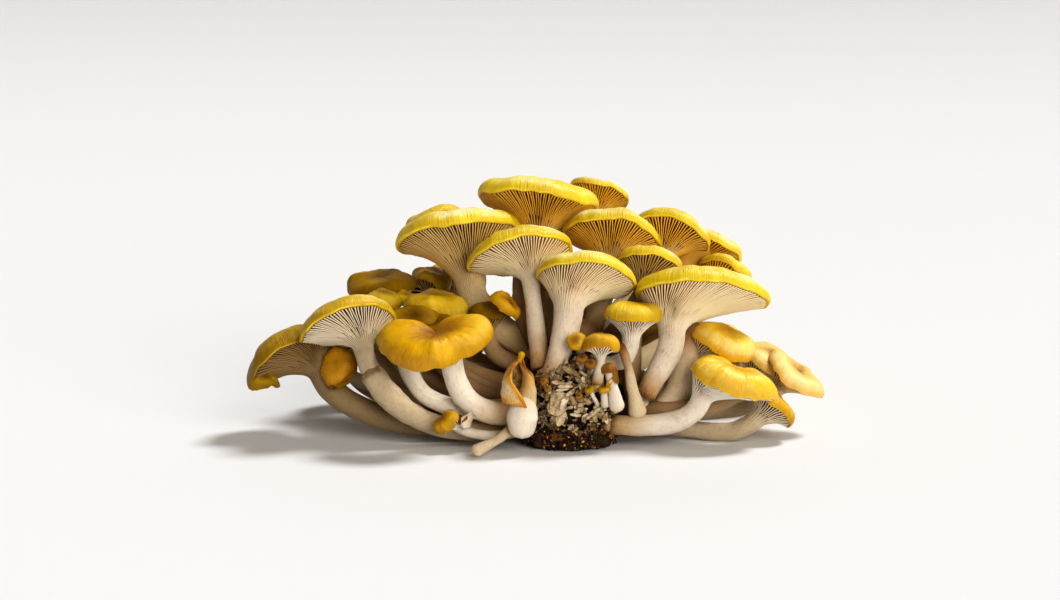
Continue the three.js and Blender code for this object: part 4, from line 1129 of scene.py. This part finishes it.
# a broad pale hull in the middle with torn sheets round it, and hulls that stand clear of the rest:
# at, length, width and thickness, spin, tip and tone
HULLS = (
    ((-5.2, -17.4, 18.8), (10, 7.2, 0.7), 1.5, 0.1, 0.74),
    ((-3.0, -17.7, 20.0), (8, 2.4, 0.5), 1.42, 0.3, 0.84),
    ((-7.4, -17.2, 20.4), (8, 2.2, 0.5), 1.7, 0.25, 0.66),
    ((-5.0, -17.9, 17.6), (7, 1.6, 0.5), 1.53, 0.1, 0.66),
    ((-4.2, -18.0, 13.2), (6.5, 3.4, 0.6), 1.4, 0.1, 0.8),
    ((-6.4, -17.3, 12.6), (4.4, 2.4, 0.6), 2.6, 0.3, 0.74),
    ((7.8, -16.9, 15), (8.5, 2.0, 0.8), 0.9, 0.35, 0.76),
    ((3.0, -17.6, 16.4), (6.5, 1.6, 0.6), 0.5, 0.4, 0.84),
    ((3.8, -17.4, 18.8), (6, 1.5, 0.6), 0.8, 0.45, 0.72),
    ((1.4, -17.6, 14.6), (6, 1.6, 0.6), 0.2, 0.4, 0.8),
    ((-1.0, -17.0, 22.8), (5, 1.8, 0.6), 0.9, 0.6, 0.8),
    ((-2.8, -16.9, 25.4), (6.5, 1.6, 0.6), 0.3, 0.45, 0.76),
    ((-5.2, -16.4, 26.6), (6.5, 1.6, 0.6), 0.15, 0.5, 0.66),
    ((-4.0, -16.8, 24.2), (5.5, 1.4, 0.6), 0.5, 0.5, 0.85),
    ((-1.6, -15.2, 31.4), (5.6, 2.4, 0.8), 2.9, 0.45, 0.6),
    ((1.6, -14.8, 29.6), (5, 2.0, 0.8), 2.7, 0.45, 0.5),
    ((2.6, -14.3, 33.4), (5, 2.0, 0.8), 2.3, 0.5, 0.5),
    ((6.4, -14.4, 32.0), (4.6, 1.8, 0.8), 1.7, 0.4, 0.52),
    ((-9.4, -15.6, 22), (5.5, 2.0, 0.7), 1.9, 0.4, 0.5),
    ((12.2, -14.6, 13), (5.5, 2.0, 0.7), 1.2, 0.4, 0.5),
)
for at, size, spin, tip, tone in HULLS:
    axes = frame_of((at[0] * 0.03, -1, 0.15), spin, tip)
    if size[1] > 5:
        flake(husks, at, axes, size, tone, 0.03, at[0], 13, 14, 0.3)
    else:
        flake(husks, at, axes, size, tone, 0.12, at[0], 13, 14, 0.5)
husks.object("husk_clump", [HUSK], "husk", ["husks"])


def pin(caps, stems, base, top, girth, cap, seed):
    """A young mushroom: a small dome on a short stem. cap is its half width and height."""
    base, top = np.array(base, float), np.array(top, float)
    way = unit(top - base)
    limb(stems, (base, (base + top) / 2 + way * 0.01, top), girth, seed, 16, 0.35, (-0.62, -0.2), 0.9)
    side = unit(np.cross(way, [0.1, 1, 0.2]))
    other = np.cross(way, side)
    angle = turns(28)
    rings = []
    profile = [(0.3, -0.1), (0.75, -0.16), (0.92, -0.12)]
    profile += [(math.cos(t) ** 0.7, math.sin(t)) for t in np.radians([0, 15, 30, 45, 60, 72, 82, 88])]
    for share, height in profile:
        wavy = 1 + 0.06 * np.sin(3 * angle + seed) + 0.04 * np.sin(5 * angle - seed)
        spots = round_of(top + way * (height * cap[1]), side, other, share * cap[0] * wavy, angle)
        rings.append((spots, share if height >= 0 else 1.1, 0.0, round_grain(angle, share * 0.3 + seed)))
    caps.loft(rings)


pin_caps, pin_stems = Skin(), Skin()
for number, (base, top, girth, cap) in enumerate((
    ((4.4, -10, 31), (3.8, -13.2, 35.2), (1.2, 1.1, 1.1), (2.4, 1.7)),
    ((16.9, -15.5, 17.6), (13.8, -15, 31), (3.0, 2.1, 1.7), (3.4, 3.0)),
    ((9.3, -15.5, 18.6), (6.6, -17.6, 24), (0.8, 0.8, 0.7), (2.3, 1.5)),
    ((12.3, -15.5, 18.0), (11.9, -17.4, 24), (1.5, 1.4, 1.1), (2.5, 1.7)),
    ((-9.0, -13.5, 23.0), (-10.6, -17.0, 27), (1.0, 0.9, 0.8), (1.8, 1.4)),
    ((-8.4, -14.5, 22.0), (-9.2, -18.0, 24.6), (0.8, 0.8, 0.7), (1.5, 1.2)),
    ((3.6, -15.5, 20.5), (2.6, -18.2, 22), (0.7, 0.7, 0.6), (1.5, 1.0)),
    ((7.5, -12.0, 30.0), (7.0, -15.5, 33.6), (1.0, 0.9, 0.8), (2.2, 1.5)),
    ((3.4, -4.0, 37.0), (1.6, -11.0, 41.6), (1.7, 1.5, 1.3), (3.8, 2.0)),
)):
    pin_caps.paint = 0 if number in (2, 3, 8) else 1
    pin(pin_caps, pin_stems, base, top, girth, cap, number + 1)
pin_caps.object("pin_caps", [PAINTS["orange"], PAINTS["rust"]], "cap_skin")
pin_stems.object("pin_stems", [PAINTS["white"]], "flesh")

# A finger-shaped mushroom that never opened, lying at the front.
finger = Skin()
limb(finger, ((-22, -14, 9.5), (-28, -21, 6), (-36, -28, 3.2)), (2.1, 1.7, 2.3), 4,
     28, 0.7, (-0.75, -0.2), 0.8)
finger.object("finger_flesh", [PAINTS["cream"]], "flesh", ["finger"])


def hood(skin, knots, girth, opening, mouth, thick):
    """A curled, open hood: a thick-walled tube with a slit, facing mouth, which turns from
    the foot to the tip and whose half angle is given along it."""
    length, at = along_line(spline(knots))
    steps, columns = 26, 30
    rows = []
    for index in range(steps + 1):
        share = index / steps
        middle, way = at(share * length)
        facing = mix(np.array(mouth[0]), np.array(mouth[1]), share)
        front = unit(facing - way * way.dot(facing))
        other = np.cross(way, front)
        spot = share * (len(girth) - 1)
        radius = float(np.interp(spot, range(len(girth)), girth))
        gap = math.radians(float(np.interp(spot, range(len(opening)), opening)))
        angle = np.linspace(gap, TURN - gap, columns)
        rim = np.exp(-((angle - gap) / 0.35) ** 2) + np.exp(-((TURN - gap - angle) / 0.35) ** 2)
        wavy = 0.35 * ripples(np.stack([angle, angle * 0 + 6 * share, angle * 0], 1), 3, 3.1)
        flared = radius + wavy + 0.7 * rim
        outer = round_of(middle, front, other, flared, angle)
        inner = round_of(middle, front, other, np.maximum(flared - thick * (1 - 0.3 * rim), 0.1), angle)[::-1]
        spots = np.concatenate([outer, inner])
        grain = np.concatenate([round_grain(angle, share)] * 2)
        edge = np.concatenate([0.35 + 0.65 * rim, -1 + 1.6 * rim[::-1]])
        rows.append(skin.ring(spots, share, edge, grain))
    for a, b in zip(rows, rows[1:]):
        skin.band(a, b)
    for row, flip in ((rows[0], 1), (rows[-1], 0)):
        for k in range(columns - 1):
            face = (row[k], row[k + 1], row[-2 - k], row[-1 - k])
            skin.put([face[::-1] if flip else face])


def bud_paint():
    """The withered bud's hood: cream outside with brown fibres, dark within, with a gold rim."""
    p = Paint("bud_hood", 0.55, glow=0.25)
    way, edge, grain, place = p.attribute("way"), p.attribute("edge"), p.attribute("grain", True), p.place()
    fibres = p.noise(grain, 14, 5, 0.65)
    clouds = p.noise(place, 220, 4, 0.6, 0.8)
    outside = p.ramp(p.sway(way, clouds, 0.5),
                     [(0.0, "d09024"), (0.1, "e4bc74"), (0.35, "ecd8ac"), (0.7, "d8a850"), (1.0, "b87414")])
    inside = p.ramp(p.sway(clouds, fibres, 0.8), [(0.25, "2e1a0a"), (0.42, "7a5224"), (0.62, "cba868")])
    outside = p.mix(p.spread(fibres, 0.48, 0.66, 0.0, 0.6), outside, "8a6234")
    base = p.mix(p.spread(edge, -0.5, 0.2), inside, outside)
    p.colour(p.mix(p.spread(edge, 0.45, 0.85), base, p.mix(p.spread(clouds, 0.4, 0.6), "e0a41c", "b4740e")))
    p.bump([(fibres, 0.5), (clouds, 0.4)])
    return p.material


# The withered bud: a white bulb, a streaked limb inside the open hood, and a small orange tip.
withered = Skin()
limb(withered, ((-19, -20.2, 10.2), (-18.9, -20.2, 14), (-18.3, -20, 18.5), (-17.6, -18.8, 22.5)),
     (5.2, 6.0, 5.0, 2.6), 9, 48, 0.5, (-0.3, -0.8), 0.8)
withered.paint = 1
limb(withered, ((-17.8, -19.6, 18.5), (-16.8, -18.6, 23), (-17.2, -17.2, 29), (-19.2, -16.8, 34)),
     (3.8, 3.2, 2.0, 0.8), 5, 40, 1.6, (0.3, 1.0), 0.7)
hood(withered, ((-21.2, -19.9, 18.8), (-20.6, -19.4, 22.2), (-20.5, -18.4, 27), (-20.6, -17.4, 32),
                (-19.6, -16.9, 35.9)),
     (5.6, 6.5, 6.2, 4.2, 1.3), (24, 50, 64, 56, 18), ((1.3, -0.6, 0), (0.3, -1, 0)), 0.9)
withered.paint = 2
limb(withered, ((-19.9, -17.1, 35), (-19.4, -17, 36.6), (-19.2, -17, 37.8)), (1.0, 1.1, 1.35), 2,
     20, 0.8, (0.4, 0.5), 0.5)
bud_paints = [PAINTS["white"], bud_paint(), PAINTS["orange"]]
withered.object("withered_bud_flesh", bud_paints, "flesh", ["withered_bud"])

# Small bits: caps that hang on others or lie tucked between them, torn flakes, and a torn collar.
SCRAP_PAINTS = ("orange", "rust", "white", "golden", "olive", "dim", "lemon", "moss")
scraps = Skin()
for name, paint, row in (
    ("wall", "olive", dict(at=(-61, 16, 45.8), half=(10.5, 6.5), lean=(0, -46), crown=2.5)),
    ("tucked", "lemon", dict(at=(-65.5, 40, 49), half=(5.5, 5), lean=(6, -16), crown=3.6, dip=0.3)),
    ("curl", "moss", dict(
        at=(-118.8, 7, 22.4), half=(6.4, 4), lean=(14, -30), crown=3.4, ripple=0.09, wave=1.3)),
    ("inner_gold", "orange", dict(at=(-25.5, 14, 51), half=(7.5, 5), lean=(48, -25), crown=3.5, dip=0.5)),
):
    scraps.paint = SCRAP_PAINTS.index(paint)
    cap_skin(scraps, row_of(name, row))
# paint, at, length, width and thickness, the way out of it, spin, tip, tone and curl
FLAKES = (
    ("rust", (-91.4, 2, 21.6), (6, 1.7, 0.6), (0.2, -1, 0), 0.3, 0.1, 0.3, 0.4),
    ("olive", (-88.6, 2, 22.6), (6, 2.0, 0.6), (0.2, -1, 0), 0.7, 0.1, 0.5, 0.5),
    ("rust", (-86.2, 3, 25.0), (6, 2.0, 0.6), (0.3, -1, 0), 0.9, 0.2, 0.4, 0.4),
    ("rust", (-43.5, -15.5, 12.5), (7, 3, 0.6), (0.1, -1, 0.2), 0.5, 0.3, 0.5, 0.6),
    ("white", (-41.0, -15.0, 11.0), (7.5, 4.2, 0.6), (0.3, -1, 0.3), 1.1, 0.3, -0.5, 0.7),
    ("white", (-44.0, -16.0, 9.8), (6, 2.4, 0.6), (0.0, -1, 0), 0.2, 0.2, -0.4, 0.5),
    ("rust", (16.2, -15.6, 29), (6, 2.0, 0.6), (0.2, -1, 0.1), 2.0, 0.1, 0.7, 0.6),
    ("orange", (14.6, -16.4, 27.2), (5.5, 1.6, 0.6), (-0.2, -1, 0.1), 1.2, 0.1, 0.9, 0.6),
)
for paint, at, size, normal, spin, tip, tone, curl in FLAKES:
    scraps.paint = SCRAP_PAINTS.index(paint)
    flake(scraps, at, frame_of(normal, spin, tip), size, tone, curl, at[0], 15, 16, 0.45)

# the sheath on the fanned mushroom's stem, and its collar, at shares of the way up it
fan = mushrooms["left_fan"]
length, at = along_line(stem_line(fan, axes_of(fan)))
scraps.paint = SCRAP_PAINTS.index("dim")
sheath = [at(length * share)[0] for share in (0.86, 0.82, 0.76, 0.64, 0.5)]
limb(scraps, sheath, (4.7, 4.9, 4.7, 4.3, 3.4), 3, 40, 1.3, (-0.3, -0.45), 0.8)
collar = [at(length * share)[0] for share in (0.872, 0.855)]
limb(scraps, collar, (4.5, 4.9), 7, 40, 2.6, (-0.85, -0.55), 0.4)
scraps.object("scraps", [PAINTS[kind] for kind in SCRAP_PAINTS], "flesh")

# ---------------------------------------------------------------- floor, light and camera
FLOOR_NEAR, FLOOR_FAR, FLOOR_SIDE, WALL_TOP = -9.0, 5.0, 14.0, 6.0  # metres
FLOOR_BEND = 1.6  # radius of the sweep from the floor up to the wall
BEND_STEPS = 12


def floor():
    """A pale floor that sweeps up into a wall, a little darker with distance: painted falloff of the light.
    """
    mesh = bpy.data.meshes.new("floor")
    profile = [(FLOOR_NEAR, 0.0), (FLOOR_FAR, 0.0)]
    for k in range(1, BEND_STEPS + 1):
        turn = k / BEND_STEPS * math.pi / 2
        profile.append((FLOOR_FAR + FLOOR_BEND * math.sin(turn), FLOOR_BEND * (1 - math.cos(turn))))
    profile.append((FLOOR_FAR + FLOOR_BEND, WALL_TOP))
    points = [(side, y, z) for y, z in profile for side in (-FLOOR_SIDE, FLOOR_SIDE)]
    faces = [(2 * k, 2 * k + 1, 2 * k + 3, 2 * k + 2) for k in range(len(profile) - 1)]
    mesh.from_pydata(points, [], faces)
    made = bpy.data.objects.new("floor", mesh)
    for face in mesh.polygons:
        face.use_smooth = True
    bpy.context.scene.collection.objects.link(made)
    p = Paint("floor_paint", 0.7, specular=0.2)
    depth = p.node("ShaderNodeSeparateXYZ", inputs={"Vector": p.place()}).outputs["Y"]
    p.colour(p.mix(p.spread(depth, -0.3, 4.5), "e4e5e7", "cbcbcd"))
    mesh.materials.append(p.material)


def sun(name, way, strength, softness, colour):
    """Even light that comes from a direction, with softness in degrees."""
    light = bpy.data.lights.new(name, "SUN")
    light.energy = strength
    light.angle = math.radians(softness)
    light.color = colour
    made = bpy.data.objects.new(name, light)
    made.rotation_euler = (-Vector(way)).to_track_quat("-Z", "Y").to_euler()
    bpy.context.scene.collection.objects.link(made)


floor()
sun("key", (0.5, 0.22, 0.84), 2.4, 16, (0.99, 0.99, 0.985))
sun("front", (0.45, -0.82, 0.36), 2.0, 40, (1, 0.965, 0.9))

scene = bpy.context.scene
world = bpy.data.worlds.new("studio")
world.use_nodes = True
background = world.node_tree.nodes["Background"]
background.inputs["Color"].default_value = (1, 0.86, 0.7, 1)
background.inputs["Strength"].default_value = 0.15
scene.world = world
scene.view_settings.view_transform = "Standard"
scene.view_settings.look = "Medium High Contrast"

ELEVATION = math.radians(9)
DISTANCE = 1.0
TARGET = Vector((-0.016, 0.020, 0.0526))
SPAN = 0.2067  # half the width in view at the target, in metres
SENSOR = 36
camera = bpy.data.objects.new("camera", bpy.data.cameras.new("camera"))
camera.data.sensor_width = SENSOR
camera.data.lens = SENSOR / 2 / (SPAN / DISTANCE)
camera.location = TARGET + DISTANCE * Vector((0, -math.cos(ELEVATION), math.sin(ELEVATION)))
camera.rotation_euler = (math.pi / 2 - ELEVATION, 0, 0)
camera.data.clip_start = 0.05
scene.collection.objects.link(camera)
scene.camera = camera
